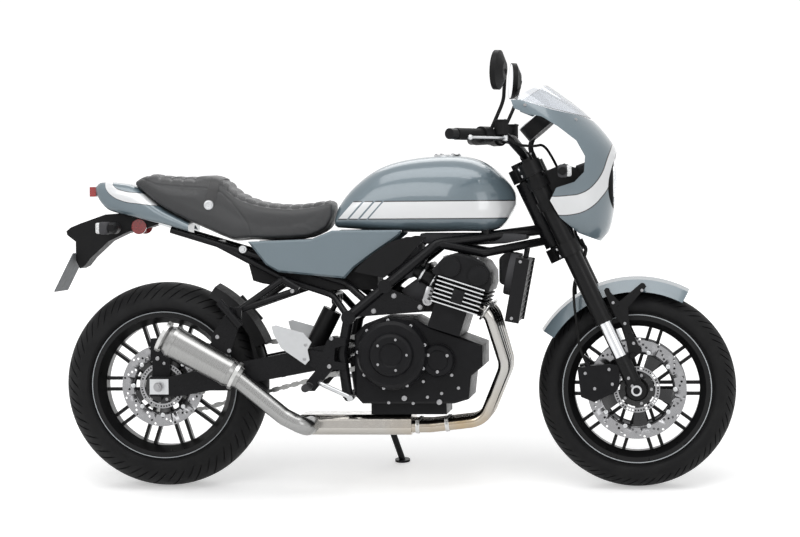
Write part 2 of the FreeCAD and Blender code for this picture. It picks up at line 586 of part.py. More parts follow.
def fork_yokes():
    """Both yokes on the steering stem, with the risers that clamp the handlebar."""
    low = D.lower_yoke_place - D.yoke_height / 2
    high = D.top_yoke_place + D.yoke_height / 2
    stem = rod(Vector(-D.fork_offset, 0, low), Vector(-D.fork_offset, 0, high), D.stem_radius)
    nut = rod(Vector(-D.fork_offset, 0, high), Vector(-D.fork_offset, 0, high + D.stem_nut_height),
              D.stem_nut_radius)
    bar = local_bar() + Vector(0, D.bar_riser_offset, 0)
    post = rod(Vector(bar.x, bar.y, high - D.overrun), bar, D.bar_riser_radius * 0.8)
    head = disc(bar.x, bar.y - D.bar_riser_radius * 0.5, bar.y + D.bar_riser_radius * 0.5, bar.z,
                D.bar_riser_radius)
    hole = disc(bar.x, 0, bar.y * 2, bar.z, D.bar_radius + D.fit_gap)
    riser = post.fuse(head).cut(hole)
    low, size = hose_joint()
    joint = block(low, low + size)
    keep_shape("fork_yokes", fused(yoke(D.lower_yoke_place), yoke(D.top_yoke_place), stem, nut, riser,
                                   flipped(riser), joint), FORK)


# Front mudguard
def guard_section(inner, half, skirt, shell):
    """Half section of a mudguard shell, crowned over the tyre."""
    crown_share = 0.12
    shoulder_share = 0.72
    drop = half * crown_share
    outer = inner + shell
    return [(inner, -half * shoulder_share), (inner + drop, 0), (inner, half * shoulder_share),
            (inner - skirt, half - shell), (inner - skirt, half), (outer, half * shoulder_share),
            (outer + drop, 0), (outer, -half * shoulder_share), (inner - skirt, -half),
            (inner - skirt, -half + shell)]


def guard_room(inner, half, skirt, shell):
    """Whole round of a mudguard with all that it covers, grown by the running gap."""
    shoulder_share = 0.72
    gap = shell + D.running_gap
    outer = inner + shell + half
    points = [(0, -half - D.running_gap), (inner - skirt, -half - D.running_gap),
              (inner + gap, -half * shoulder_share - D.running_gap), (outer, 0),
              (inner + gap, half * shoulder_share + D.running_gap), (inner - skirt, half + D.running_gap),
              (0, half + D.running_gap)]
    return turned(points)


def front_mudguard():
    """Mudguard shell round the wheel."""
    inner = D.front_tyre_radius + D.front_guard_gap
    points = guard_section(inner, D.front_guard_width / 2, D.front_guard_skirt, D.guard_thickness)
    shell = turned(points, D.front_guard_sweep, D.front_guard_start)
    keep_shape("front_mudguard", shell, FRONT_AXLE)


CALIPER_SHARES = [(0.19, 1.00), (0.00, 0.27), (0.20, 0.00), (0.69, 0.00), (0.82, 0.11), (1.00, 0.61),
                  (0.82, 0.73), (0.48, 0.90)]


def front_calipers():
    """Calipers behind the legs, open over the disc."""
    points = outline(CALIPER_SHARES, (D.front_caliper_back, D.front_caliper_low), D.front_caliper_length,
                     D.front_caliper_height)
    inner = D.front_disc_offset - D.disc_thickness / 2 - D.caliper_gap - D.caliper_inner_wall
    outer = D.fork_leg_offset + D.fork_foot_width / 4
    body = slab(points, inner, outer)
    slot_low = D.front_disc_offset - D.disc_thickness / 2 - D.caliper_gap
    slot_high = D.front_disc_offset + D.disc_thickness / 2 + D.caliper_gap
    slot = ring(D.front_disc_radius + D.caliper_gap, D.hub_radius, slot_low, slot_high)
    banjo = rod(banjo_top() - Vector(0, 0, D.banjo_height * 1.5), banjo_top(), D.banjo_radius)
    keep_shape("front_calipers", both_sides(fused(body, banjo).cut([slot, foot_shape(D.fit_gap)])), FORK)


def hose_joint():
    """Low corner and size of the block on the lower yoke where the brake hoses meet."""
    web_share = 0.6
    low = Vector(D.yoke_clamp_radius * web_share, -D.hose_joint_half,
                 D.lower_yoke_place - D.hose_joint_height / 2)
    return low, Vector(D.hose_joint_length, D.hose_joint_half * 2, D.hose_joint_height)


def banjo_top():
    """Top of the hose fitting on the left caliper."""
    back_share = 0.4
    high_share = 0.93
    return Vector(D.front_caliper_back + D.front_caliper_length * back_share, D.fork_leg_offset,
                  D.front_caliper_low + D.front_caliper_height * high_share + D.banjo_height)


# Corners of the brake hoses: upright for the hand's hose, in the fork frame for the calipers'
HAND_HOSE = [(388, -230, 1038), (424, -150, 1036), (450, -78, 1044), (484, -40, 984), (517, -12, 898)]
HAND_HOSE_FOOT = [(52, 0, 560)]
CALIPER_HOSE = [(44, 58, 452), (10, 66, 412), (-36, 76, 372), (-62, 92, 310), (-84, 102, 236)]


def brake_hoses():
    """Hoses of the front brake: from the hand's cylinder to the joint, and on to each caliper."""
    low, size = hose_joint()
    middle = low + size * 0.5
    start, end = lever_arm()
    ahead = (end - start).normalize()
    run = D.hose_run
    hand_start = [end + ahead * D.running_gap, end + ahead * run]
    upright = [Vector(point.x, -point.y, point.z) for point in hand_start]
    upright += [Vector(*point) for point in HAND_HOSE]
    foot = Vector(middle.x, 0, low.z + size.z)
    hand = [FORK.inverse().multVec(point) for point in upright] + [Vector(*point) for point in HAND_HOSE_FOOT]
    hand += [foot + Vector(0, 0, run), foot + Vector(0, 0, D.running_gap)]
    side = Vector(middle.x, D.hose_joint_half, middle.z)
    leg = [side + Vector(0, D.running_gap, 0), side + Vector(0, run, 0)]
    leg += [Vector(*point) for point in CALIPER_HOSE]
    leg += [banjo_top() + Vector(0, 0, run * 2), banjo_top() + Vector(0, 0, D.running_gap)]
    pipe = tube(leg, D.hose_radius, D.hose_bend)
    keep_shape("brake_hoses", Part.makeCompound([tube(hand, D.hose_radius, D.hose_bend), pipe, flipped(pipe)]),
               FORK)


# Handlebar and controls
def bar_points():
    """Corners of the handlebar from its left end to its right end."""
    half = [Vector(D.bar_end_x, D.bar_end_y, D.bar_end_z),
            Vector(D.bar_bend_x, D.bar_bend_y, D.bar_end_z),
            Vector(D.bar_clamp_x, D.bar_clamp_half, D.bar_clamp_z)]
    return half + [Vector(point.x, -point.y, point.z) for point in reversed(half)]


def bar_place(from_end):
    """Point of the left handlebar a distance in from its end, and the direction outward."""
    end, bend = bar_points()[:2]
    outward = (end - bend).normalize()
    return end - outward * from_end, outward


def handlebar():
    """Bent handlebar tube with a weight on each end."""
    end, outward = bar_place(0)
    start = end + outward * D.bar_end_gap
    weight = rod(start, start + outward * D.bar_weight_length, D.bar_weight_radius)
    spigot = rod(end - outward * D.overrun, start, D.bar_radius)
    pipe = tube(bar_points(), D.bar_radius, D.bar_rise)
    keep_shape("handlebar", fused(pipe, weight, spigot, flipped(weight), flipped(spigot)))


def grips():
    """Rubber grips with the bar end weights left clear."""
    end, outward = bar_place(0)
    inner = end - outward * D.grip_length
    sleeve = rod(inner, end, D.grip_radius).cut(rod(inner, end, D.bar_radius + D.fit_gap))
    keep_shape("grips", both_sides(sleeve))


def lever_arm():
    """Arm of the left lever's perch, from the bar to its pivot."""
    inner, outward = bar_place(D.grip_length + D.control_length + D.bar_end_gap)
    start = inner - outward * D.control_length * 0.6 + outward * D.grip_radius
    return start, start + Vector(D.lever_reach * 0.6, 0, -D.bar_radius)


def control_shape():
    """Left switch housing with its lever perch and cup."""
    inner, outward = bar_place(D.grip_length + D.control_length + D.bar_end_gap)
    body = rod(inner, inner + outward * D.control_length, D.control_radius)
    perch_start = inner - outward * D.control_length * 0.6
    perch = rod(perch_start, inner, D.grip_radius)
    arm_start, arm_end = lever_arm()
    arm = rod(arm_start, arm_end, D.bar_radius)
    foot = arm_start + Vector(D.reservoir_radius * 1.5, 0, 0)
    cup = rod(foot, foot + Vector(0, 0, D.reservoir_height), D.reservoir_radius)
    hole = rod(perch_start - outward * D.control_length, inner + outward * D.control_length * 1.2,
               D.bar_radius + D.fit_gap)
    return body.fuse([perch, arm, cup]).removeSplitter().cut(hole)


def control_sets():
    """Switch housings with the lever perches and fluid cups beside the grips."""
    keep_shape("control_sets", both_sides(control_shape()))


def levers():
    """Brake and clutch levers ahead of the grips."""
    perch, outward = bar_place(D.grip_length + D.control_length * 1.45)
    across = Vector(outward.y, -outward.x, 0)
    start = perch + across * D.lever_reach * 0.75 + Vector(0, 0, -D.bar_radius)
    knee = start + outward * D.lever_length * 0.3 + across * D.lever_reach * 0.2
    tip = start + outward * D.lever_length - across * D.lever_reach * 0.1
    blade = tube([start, knee, tip], D.lever_thickness / 2, D.lever_reach)
    ball = Part.makeSphere(D.lever_thickness, tip)
    eye = rod(start - Vector(0, 0, D.lever_width / 2), start + Vector(0, 0, D.lever_width / 2),
              D.lever_thickness)
    keep_shape("levers", both_sides(blade.fuse([ball, eye]).cut(control_shape())))


def mirror_parts():
    """Round mirrors on stems from the lever perches."""
    perch, outward = bar_place(D.grip_length + D.control_length * 1.2)
    centre = Vector(D.mirror_x, D.mirror_y, D.mirror_z)
    facing = Vector(-1, -0.2, 0.05).normalize()
    back = centre - facing * D.mirror_thickness
    shell = rod(back, centre, D.mirror_radius)
    hub = back - facing * D.mirror_thickness
    dish = Part.makeCone(D.mirror_radius * 0.45, D.mirror_radius, D.mirror_thickness, hub, facing)
    recess = rod(centre - facing * D.mirror_glass_thickness, centre + facing * D.overrun,
                 D.mirror_radius - D.guard_thickness)
    foot = perch + Vector(0, 0, D.bar_radius)
    knee = Vector((foot.x + centre.x) / 2 + D.mirror_radius / 2, foot.y + D.mirror_radius * 0.2,
                  (foot.z + centre.z) / 2)
    stem = tube([foot, knee, hub], D.mirror_stem_radius, D.mirror_radius)
    bar = rod(perch - outward * D.bar_end_y, perch + outward * D.bar_end_y, D.grip_radius + D.fit_gap)
    keep_shape("mirrors", both_sides(shell.fuse([dish, stem]).cut([recess, control_shape(), bar])))
    glass = rod(centre - facing * D.mirror_glass_thickness, centre,
                D.mirror_radius - D.guard_thickness - D.fit_gap)
    keep_shape("mirror_glasses", both_sides(glass))


def instruments():
    """Twin round dials on a bridge above the top yoke."""
    tilt = math.radians(D.dial_tilt)
    facing = Vector(-math.cos(tilt), 0, math.sin(tilt))
    centre = Vector(D.dial_x, D.dial_offset, D.dial_z)
    face = rod(centre - facing * D.dial_rim, centre + facing * D.overrun, D.dial_radius - D.dial_rim)
    cup = rod(centre - facing * D.dial_depth, centre, D.dial_radius).cut(face)
    bridge_centre = centre - facing * D.dial_depth / 2
    bridge = rod(bridge_centre, Vector(bridge_centre.x, -bridge_centre.y, bridge_centre.z), D.dial_bridge / 2)
    ahead = local_bar().x + D.bar_radius + D.post_radius + D.overrun
    high = D.top_yoke_place + D.yoke_height / 2 + D.fit_gap
    foot = FORK.multVec(Vector(ahead, 0, high))
    bend = FORK.multVec(Vector(ahead, 0, high + D.yoke_height))
    post = tube([foot, bend, Vector(bridge_centre.x, 0, bridge_centre.z)], D.post_radius, D.yoke_height)
    keep_shape("instruments", fused(cup, flipped(cup), bridge, post))


# Headlamp, cowl and screen
EAR_SHARES = [(0.32, 0.00), (0.00, 0.68), (0.10, 0.86), (0.45, 1.00), (0.62, 0.92), (0.80, 0.78),
              (0.91, 0.80), (0.91, 0.62), (0.72, 0.52), (0.60, 0.10)]


def headlamp():
    """Bowl with its bezel and lens, and the ears that clamp the fork tubes."""
    face = D.lamp_face_x
    centre = D.lamp_z
    bezel = rod(Vector(face - D.lamp_bezel, 0, centre), Vector(face, 0, centre), D.lamp_radius)
    dome = Part.makeCone(D.lamp_radius * 0.55, D.lamp_radius - D.guard_thickness,
                         D.lamp_bowl_depth - D.lamp_bezel, Vector(face - D.lamp_bowl_depth, 0, centre),
                         Vector(1, 0, 0))
    seat = rod(Vector(face - D.guard_thickness, 0, centre), Vector(face + D.overrun, 0, centre),
               D.lamp_radius - D.lamp_bezel)
    hole = leg_bar(D.lower_yoke_place, D.top_yoke_place, D.fork_tube_radius + D.fit_gap)
    hole.Placement = FORK.multiply(hole.Placement)
    clamps = []
    for place in (D.ear_low_place, D.ear_high_place):
        clamp = leg_bar(place - D.ear_clamp_height / 2, place + D.ear_clamp_height / 2,
                        D.fork_tube_radius + D.lamp_ear_thickness)
        clamp.Placement = FORK.multiply(clamp.Placement)
        clamps.append(clamp)
    plate = slab(outline(EAR_SHARES, (D.ear_x, D.ear_z), D.ear_length, D.ear_height),
                 D.fork_leg_offset - D.lamp_ear_thickness / 2, D.fork_leg_offset + D.lamp_ear_thickness / 2)
    bolt = disc(face - D.lamp_bowl_depth * 0.6, D.lamp_radius / 2, D.fork_leg_offset, centre,
                D.indicator_stalk_radius)
    stay = disc(D.cowl_stay_x, D.fork_leg_offset, D.cowl_half_width, D.cowl_stay_z, D.indicator_stalk_radius)
    stay = stay.common(cowl_body(D.cowl_wall + D.running_gap))
    ear = plate.fuse(clamps + [bolt, stay]).cut(hole)
    keep_shape("headlamp", fused(bezel, dome, ear, flipped(ear)).cut(seat))
    radius = D.lamp_radius - D.lamp_bezel - D.fit_gap
    ball_radius = (radius ** 2 + D.lamp_lens_bulge ** 2) / 2 / D.lamp_lens_bulge
    start = face - D.guard_thickness + D.fit_gap
    ball = Part.makeSphere(ball_radius, Vector(start + D.lamp_lens_bulge - ball_radius, 0, centre))
    front = block(Vector(start, -ball_radius, centre - ball_radius),
                  Vector(start + ball_radius, ball_radius, centre + ball_radius))
    keep_shape("headlamp_lens", ball.common(front))


def indicator(x, y, z, seat_y):
    """Turn signal on its stalk, pointing out to the left from its seat."""
    body = rod(Vector(x, y, z), Vector(x, y + D.indicator_length * 0.7, z), D.indicator_radius)
    tip = Part.makeCone(D.indicator_radius, D.indicator_radius * 0.6, D.indicator_length * 0.3,
                        Vector(x, y + D.indicator_length * 0.7, z), Vector(0, 1, 0))
    stalk = rod(Vector(x, seat_y + D.fit_gap, z), Vector(x, y, z), D.indicator_stalk_radius)
    return fused(body, tip, stalk)


COWL_SHARES = [(0.000, 0.803, 0.39, 0.38), (0.114, 0.922, 0.58, 0.66), (0.238, 0.956, 0.74, 0.82),
               (0.387, 0.991, 0.92, 0.92), (0.565, 0.978, 1.00, 0.98), (0.652, 0.906, 1.00, 1.00),
               (0.760, 0.766, 0.95, 0.99), (0.878, 0.566, 0.79, 0.91), (1.000, 0.312, 0.55, 0.69)]


def cowl_body(inset):
    """Closed body of the cowl's outer form, or of its inside at an inset."""
    wires = []
    nose_steps = 4
    for up, nose, depth, half in COWL_SHARES:
        nose_x = D.cowl_x + nose * D.cowl_reach - inset
        half_width = half * D.cowl_half_width - inset
        deep = depth * D.cowl_nose - inset
        back = D.cowl_x - D.cowl_nose
        arc = []
        for step in range(-nose_steps, nose_steps + 1):
            turn = math.pi / 2 * step / nose_steps
            arc.append(Vector(nose_x - deep * (1 - math.cos(turn)), half_width * math.sin(turn),
                              D.cowl_z + up * D.cowl_rise))
        curve = Part.BSplineCurve()
        curve.interpolate(Points=arc)
        rear = [arc[-1], Vector(back, arc[-1].y, arc[-1].z), Vector(back, arc[0].y, arc[0].z), arc[0]]
        lines = [Part.makeLine(one, two) for one, two in zip(rear, rear[1:])]
        wires.append(Part.Wire([curve.toShape()] + lines))
    return Part.makeLoft(wires, True, False)


COWL_SIDE_SHARES = [(0.00, 1.00), (0.03, 0.94), (0.16, 0.90), (0.29, 0.88), (0.44, 0.81), (0.61, 0.71),
                    (0.69, 0.60), (0.68, 0.49), (0.59, 0.42), (0.42, 0.38), (0.36, 0.29), (0.45, 0.17),
                    (0.62, 0.06), (0.82, 0.00), (0.96, 0.12), (1.08, 0.35), (1.08, 0.63), (0.96, 0.76),
                    (0.77, 0.85), (0.63, 0.89), (0.38, 0.93), (0.09, 1.00)]
SCREEN_SHARES = [(1.04, 0.00), (0.84, 0.53), (0.50, 1.00), (0.31, 0.94), (0.00, 0.57), (0.13, 0.55),
                 (0.49, 0.32), (0.81, 0.15)]


def cowl_and_screen():
    """Cowl shell round the headlamp, and the screen that carries on its form above."""
    shell = cowl_body(0).cut(cowl_body(D.cowl_wall))
    side = outline(COWL_SIDE_SHARES, (D.cowl_x, D.cowl_side_z), D.cowl_reach, D.cowl_side_rise)
    side_body = slab(side, -D.cowl_half_width * 2, D.cowl_half_width * 2)
    trimmed = shell.common(side_body)
    hole = rod(Vector(D.lamp_face_x - D.lamp_bowl_depth, 0, D.lamp_z),
               Vector(D.cowl_x + D.cowl_reach * 2, 0, D.lamp_z), D.lamp_radius + D.lamp_ring_gap)
    keep_shape("front_cowl", trimmed.cut(hole))
    pane = outline(SCREEN_SHARES, (D.cowl_x, D.screen_z), D.screen_reach, D.screen_rise)
    pane_body = slab(pane, -D.cowl_half_width * 2, D.cowl_half_width * 2).cut(side_body)
    keep_shape("screen", max(shell.common(pane_body).Solids, key=lambda solid: solid.Volume))


# Engine
CRANK_SHARES = [(0.00, 0.10), (0.00, 0.80), (0.08, 0.93), (0.21, 1.00), (0.46, 1.00), (0.57, 0.91),
                (0.84, 0.77), (1.00, 0.68), (1.00, 0.43), (0.91, 0.32), (0.89, 0.05), (0.78, 0.00),
                (0.06, 0.00)]


def crankcase():
    """Crankcase with its sump."""
    points = outline(CRANK_SHARES, (D.crank_x, D.crank_z), D.crank_length, D.crank_height)
    case = slab(points, -D.crank_half_width, D.crank_half_width)
    rim = [edge for edge in case.Edges if abs(edge.Vertexes[0].Y - edge.Vertexes[-1].Y) < D.fit_gap]
    case = case.makeChamfer(D.case_chamfer, rim)
    sump = block(Vector(D.sump_x, -D.sump_half_width, D.crank_z - D.sump_depth),
                 Vector(D.sump_x + D.sump_length, D.sump_half_width, D.crank_z))
    pocket = disc(SPROCKET_X, D.chain_offset - D.chain_width, D.crank_half_width * 2, D.pivot_z,
                  D.pocket_radius)
    behind = block(Vector(SPROCKET_X - D.pocket_radius * 2, D.chain_offset - D.chain_width,
                          D.pivot_z - D.pocket_radius),
                   Vector(SPROCKET_X, D.crank_half_width * 2, D.pivot_z + D.pocket_radius))
    keep_shape("crankcase", fused(case, sump).cut([pocket, behind]))


# Half sections of the round covers, shares of their radius and depth
CLUTCH_COVER_SHARES = [(0.00, 0.00), (1.00, 0.00), (1.00, 0.50), (0.93, 0.86), (0.84, 1.00), (0.63, 1.00),
                       (0.58, 1.20), (0.50, 1.28), (0.34, 1.28), (0.30, 1.20), (0.00, 1.20)]
ROUND_COVER_SHARES = [(0.00, 0.00), (1.00, 0.00), (1.00, 0.60), (0.90, 1.00), (0.64, 1.00), (0.60, 0.88),
                      (0.00, 0.88)]


def round_cover(shares, x, z, radius, depth, bosses):
    """Cast cover turned about its own axis, with bolt bosses round its rim."""
    wall = D.crank_half_width
    body = turned([(out * radius, wall + deep * depth) for out, deep in shares])
    rim_share = 0.4
    pieces = []
    for index in range(bosses):
        turn = 2 * math.pi * (index + rim_share) / bosses
        reach = radius - D.cover_boss_radius / 2
        pieces.append(disc(reach * math.cos(turn), wall, wall + depth * rim_share, reach * math.sin(turn),
                           D.cover_boss_radius))
    whole = body.fuse(pieces) if pieces else body
    whole.translate(Vector(x, 0, z))
    return whole


def engine_covers():
    """Clutch and pulse covers on the right, generator and sprocket covers on the left."""
    bosses = int(D.cover_bosses)
    clutch = round_cover(CLUTCH_COVER_SHARES, D.clutch_x, D.clutch_z, D.clutch_radius, D.clutch_depth, bosses)
    pulse = round_cover(ROUND_COVER_SHARES, D.pulse_x, D.pulse_z, D.pulse_radius, D.pulse_depth, 0)
    generator = round_cover(ROUND_COVER_SHARES, D.generator_x, D.generator_z, D.generator_radius,
                            D.generator_depth, bosses)
    sprocket = disc(SPROCKET_X, D.sprocket_cover_y, D.crank_half_width, D.pivot_z, D.pocket_radius - D.fit_gap)
    keep_shape("engine_covers", Part.makeCompound([flipped(fused(clutch, pulse)), generator, sprocket]))


PORT_SHARES = (-1.5, -0.5, 0.5, 1.5)


def port_run(y):
    """First run of a header pipe out of the head, in the block's frame."""
    near = Vector(D.fin_front - D.head_core_inset + D.fit_gap, y, D.barrel_high + D.fin_zone / 3)
    far = Vector(D.fin_front + D.pipe_radius, y, D.barrel_high + D.fin_zone / 6)
    return near, far


def cylinders():
    """Cylinder block with the cooling fins of the head, leaning forward."""
    barrel = block(Vector(-D.barrel_back, -D.barrel_half_width, D.barrel_low),
                   Vector(D.barrel_front, D.barrel_half_width, D.barrel_high))
    top = D.barrel_high + D.fin_zone
    inset = D.head_core_inset
    core = block(Vector(-D.fin_back + inset, -D.fin_half_width + inset, D.barrel_high),
                 Vector(D.fin_front - inset, D.fin_half_width - inset, top))
    count = int(D.fin_count)
    step = (D.fin_zone - D.fin_thickness) / (count - 1)
    fins = [cut_block(Vector(-D.fin_back, -D.fin_half_width, D.barrel_high + index * step),
                      Vector(D.fin_front, D.fin_half_width, D.barrel_high + index * step + D.fin_thickness),
                      D.fin_corner)
            for index in range(count)]
    case = slab(outline(CRANK_SHARES, (D.crank_x, D.crank_z), D.crank_length, D.crank_height),
                -D.barrel_half_width - D.overrun, D.barrel_half_width + D.overrun)
    case.Placement = BLOCK.inverse().multiply(case.Placement)
    ports = []
    for index in PORT_SHARES:
        near, far = port_run(index * D.port_spacing)
        ports.append(rod(near, far + far - near, D.pipe_radius * 1.4))
    lug_inner = D.frame_half_width - D.mount_plate_thickness / 2 - D.running_gap
    lug_points = [(D.engine_mount_x - D.engine_lug_radius, D.engine_mount_z + D.engine_lug_radius / 2),
                  (D.engine_mount_x, D.engine_mount_z + D.engine_lug_radius),
                  (D.block_x, D.engine_mount_z + D.engine_lug_radius),
                  (D.block_x, D.engine_mount_z - D.engine_lug_radius),
                  (D.engine_mount_x, D.engine_mount_z - D.engine_lug_radius),
                  (D.engine_mount_x - D.engine_lug_radius, D.engine_mount_z - D.engine_lug_radius / 2)]
    lugs = []
    for lug in (slab(lug_points, lug_inner - D.mount_plate_thickness, lug_inner),
                slab(lug_points, -lug_inner, D.mount_plate_thickness - lug_inner)):
        lug.Placement = BLOCK.inverse().multiply(lug.Placement)
        lugs.append(lug)
    keep_shape("cylinders", fused(barrel, core, *fins, *lugs).cut([case] + ports), BLOCK)


COVER_SHARES = [(-1.00, 0.00), (-1.00, 0.24), (-0.82, 0.66), (-0.50, 0.94), (-0.20, 1.00), (0.20, 1.00),
                (0.55, 0.94), (0.86, 0.66), (1.00, 0.24), (1.00, 0.00)]


def cam_cover():
    """Domed cover over the camshafts, with a round cap at each shaft's end."""
    low = D.barrel_high + D.fin_zone + D.fit_gap
    points = [(along * (D.cam_cover_front if along > 0 else D.cam_cover_back), low + up * D.cam_cover_height)
              for along, up in COVER_SHARES]
    cover = slab(points, -D.cam_cover_half_width, D.cam_cover_half_width)
    ends = [edge for edge in cover.Edges if abs(edge.Vertexes[0].Y - edge.Vertexes[-1].Y) < D.fit_gap
            and max(vertex.Z for vertex in edge.Vertexes) > low + D.cam_cover_height / 2]
    cover = cover.makeChamfer(D.case_chamfer, ends)
    cap_share = 0.5
    caps = [disc(along * D.cam_cover_front * cap_share, D.cam_cover_half_width,
                 D.cam_cover_half_width + D.cam_cap_depth, low + D.cam_cap_radius + D.rim_lip,
                 D.cam_cap_radius) for along in (-1, 1)]
    keep_shape("cam_cover", fused(cover, *caps, *[flipped(cap) for cap in caps]), BLOCK)


def head_brace_points():
    """Corners of the left tube from the foot of the head to the shoulder."""
    return [FORK.multVec(Vector(-D.fork_offset, 0, D.head_brace_place)),
            Vector(D.brace_x, D.brace_y, D.brace_z),
            Vector(D.frame_shoulder_x, D.frame_half_width, D.frame_shoulder_z)]


def radiator():
    """Radiator core between its two side tanks."""
    frame = Placement(Vector(D.radiator_x, 0, D.radiator_z), Rotation(Vector(0, 1, 0), D.radiator_tilt))
    half = D.radiator_thickness / 2
    core = block(Vector(-half + D.radiator_fin_inset, -D.radiator_half_width, 0),
                 Vector(half - D.radiator_fin_inset, D.radiator_half_width, D.radiator_height))
    side = block(Vector(-half, D.radiator_half_width - D.radiator_tank, 0),
                 Vector(half, D.radiator_half_width, D.radiator_height))
    corner, bend = head_brace_points()[:2]
    reach = (D.radiator_height + D.radiator_thickness) * math.sin(math.radians(D.radiator_tilt))
    share = (corner.x - D.radiator_x - reach) / (corner.x - bend.x)
    hold = frame.inverse().multVec(corner + (bend - corner) * share)
    stay = rod(Vector(hold.x, hold.y, D.radiator_height - D.overrun), hold, D.radiator_fin_inset)
    room = tube(head_brace_points(), D.frame_tube_radius * 0.8 + D.running_gap, D.frame_tube_radius * 3)
    room.Placement = frame.inverse().multiply(room.Placement)
    stay = stay.cut(room)
    stay = min(stay.Solids, key=lambda solid: solid.CenterOfMass.z)
    count = int(D.radiator_rows)
    step = D.radiator_height / count
    inset = D.radiator_fin_inset / 2
    width = D.radiator_half_width - D.radiator_tank / 2
    rows = [block(Vector(-half + inset, -width, step * (index + 0.5)),
                  Vector(half - inset, width, step * (index + 0.5) + D.radiator_row_height))
            for index in range(count)]
    keep_shape("radiator", fused(core, side, flipped(side), stay, flipped(stay), *rows), frame)


# Exhaust
def exhaust_manifold():
    """Four header pipes from the ports to the flat chamber under the engine."""
    box = block(Vector(D.chamber_x, -D.chamber_half_width, D.chamber_z),
                Vector(D.chamber_x + D.chamber_length, D.chamber_half_width, D.chamber_z + D.chamber_height))
    long_edges = [edge for edge in box.Edges if edge.Length > D.chamber_half_width * 3]
    pieces = [box.makeFillet(D.chamber_rounding, long_edges)]
    for index in PORT_SHARES:
        y = index * D.port_spacing
        low_y = index * D.collector_spacing
        port, first = [BLOCK.multVec(point) for point in port_run(y)]
        points = [port, first,
                  Vector(D.header_front_x, (y + low_y) / 2, (port.z + D.header_low_z) / 2),
                  Vector(D.header_front_x - D.collector_bend, low_y, D.header_low_z + D.pipe_radius),
                  Vector(D.header_back_x, low_y, D.header_low_z),
                  Vector(D.chamber_x + D.chamber_length - D.pipe_radius, low_y, D.header_low_z)]
        pieces.append(tube(points, D.pipe_radius, D.collector_bend))
    keep_shape("exhaust_manifold", fused(*pieces))


def muffler_can(gap):
    """Tapered body of the muffler between its cones, grown by a gap, with its ends and direction."""
    front = Vector(D.muffler_front_x, D.muffler_y, D.muffler_front_z)
    back = Vector(D.muffler_back_x, D.muffler_y, D.muffler_back_z)
    along = (back - front).normalize()
    start = front + along * D.muffler_taper
    length = (back - start).Length - D.muffler_taper
    body = Part.makeCone(D.muffler_front_radius + gap, D.muffler_back_radius + gap, length, start, along)
    return body, front, back, along


def muffler():
    """Link pipe and tapered muffler on the right."""
    can, front, back, along = muffler_can(0)
    start = Vector(D.chamber_x + D.mid_pipe_radius, -D.chamber_half_width - D.fit_gap,
                   D.chamber_z + D.mid_pipe_radius)
    bend = Vector(start.x, D.muffler_y, start.z)
    lift = Vector(D.chamber_x - D.mid_pipe_radius, D.muffler_y, start.z + D.mid_pipe_radius)
    pipe = tube([start, bend, lift, front + along * D.muffler_taper], D.mid_pipe_radius * 0.8,
                D.mid_pipe_radius * 2)
    nose = Part.makeCone(D.mid_pipe_radius, D.muffler_front_radius, D.muffler_taper, front, along)
    can_start = front + along * D.muffler_taper
    tail_start = back - along * D.muffler_taper
    tail = Part.makeCone(D.muffler_back_radius, D.muffler_outlet_radius * 1.3, D.muffler_taper, tail_start,
                         along)
    bands = [rod(can_start, can_start + along * D.muffler_band, D.muffler_front_radius + D.muffler_band_proud),
             rod(tail_start - along * D.muffler_band, tail_start, D.muffler_back_radius + D.muffler_band_proud)]
    outlet = rod(back - along * D.muffler_outlet_depth, back + along * D.overrun, D.muffler_outlet_radius)
    keep_shape("muffler", fused(nose, can, tail, pipe, *bands).cut(outlet))


# Tank, seat and tail
TANK_SHARES = [(0.000, 0.066, 0.207, 0.47), (0.038, 0.048, 0.419, 0.56), (0.120, 0.031, 0.639, 0.65),
               (0.246, 0.009, 0.846, 0.75), (0.400, 0.000, 0.956, 0.84), (0.567, 0.000, 1.000, 0.95),
               (0.726, 0.000, 0.987, 1.00), (0.837, 0.000, 0.899, 0.93), (0.926, 0.066, 0.727, 0.72),
               (0.980, 0.220, 0.573, 0.48), (1.000, 0.330, 0.463, 0.30)]
SADDLE_SHARES = [(0.000, 0.837, 0.900, 0.61), (0.070, 0.670, 1.000, 0.74), (0.152, 0.483, 0.971, 0.80),
                 (0.280, 0.287, 0.952, 0.87), (0.394, 0.134, 0.967, 0.92), (0.459, 0.053, 0.904, 0.95),
                 (0.511, 0.000, 0.751, 0.98), (0.585, 0.029, 0.627, 1.00), (0.669, 0.024, 0.560, 0.99),
                 (0.793, 0.029, 0.531, 0.93), (0.895, 0.053, 0.555, 0.85), (0.969, 0.167, 0.589, 0.75),
                 (1.000, 0.349, 0.569, 0.66)]
TAIL_SHARES = [(0.000, 0.825, 0.930, 0.43), (0.047, 0.661, 0.994, 0.57), (0.131, 0.509, 1.000, 0.68),
               (0.237, 0.439, 0.988, 0.77), (0.415, 0.363, 0.930, 0.87), (0.565, 0.298, 0.731, 0.91),
               (0.736, 0.234, 0.503, 0.94), (1.000, 0.105, 0.263, 0.98)]


def tank_shape():
    """Teardrop body of the tank."""
    stations = scaled_stations(TANK_SHARES, TANK_X, D.tank_length, D.tank_z, D.tank_height,
                               D.tank_half_width)
    return lofted_body(stations, SECTION_SHARES)


def fuel_tank():
    """Teardrop tank with a flat filler cap."""
    top = D.tank_z + D.tank_height
    body = tank_shape()
    neck = rod(Vector(D.filler_x, 0, top - D.filler_height), Vector(D.filler_x, 0, top + D.filler_height),
               D.filler_neck_radius)
    keep_shape("fuel_tank", body.cut(neck))
    cap = rod(Vector(D.filler_x, 0, top - D.filler_height + D.fit_gap),
              Vector(D.filler_x, 0, top + D.filler_height / 2), D.filler_neck_radius - D.fit_gap)
    keep_shape("filler_cap", cap)


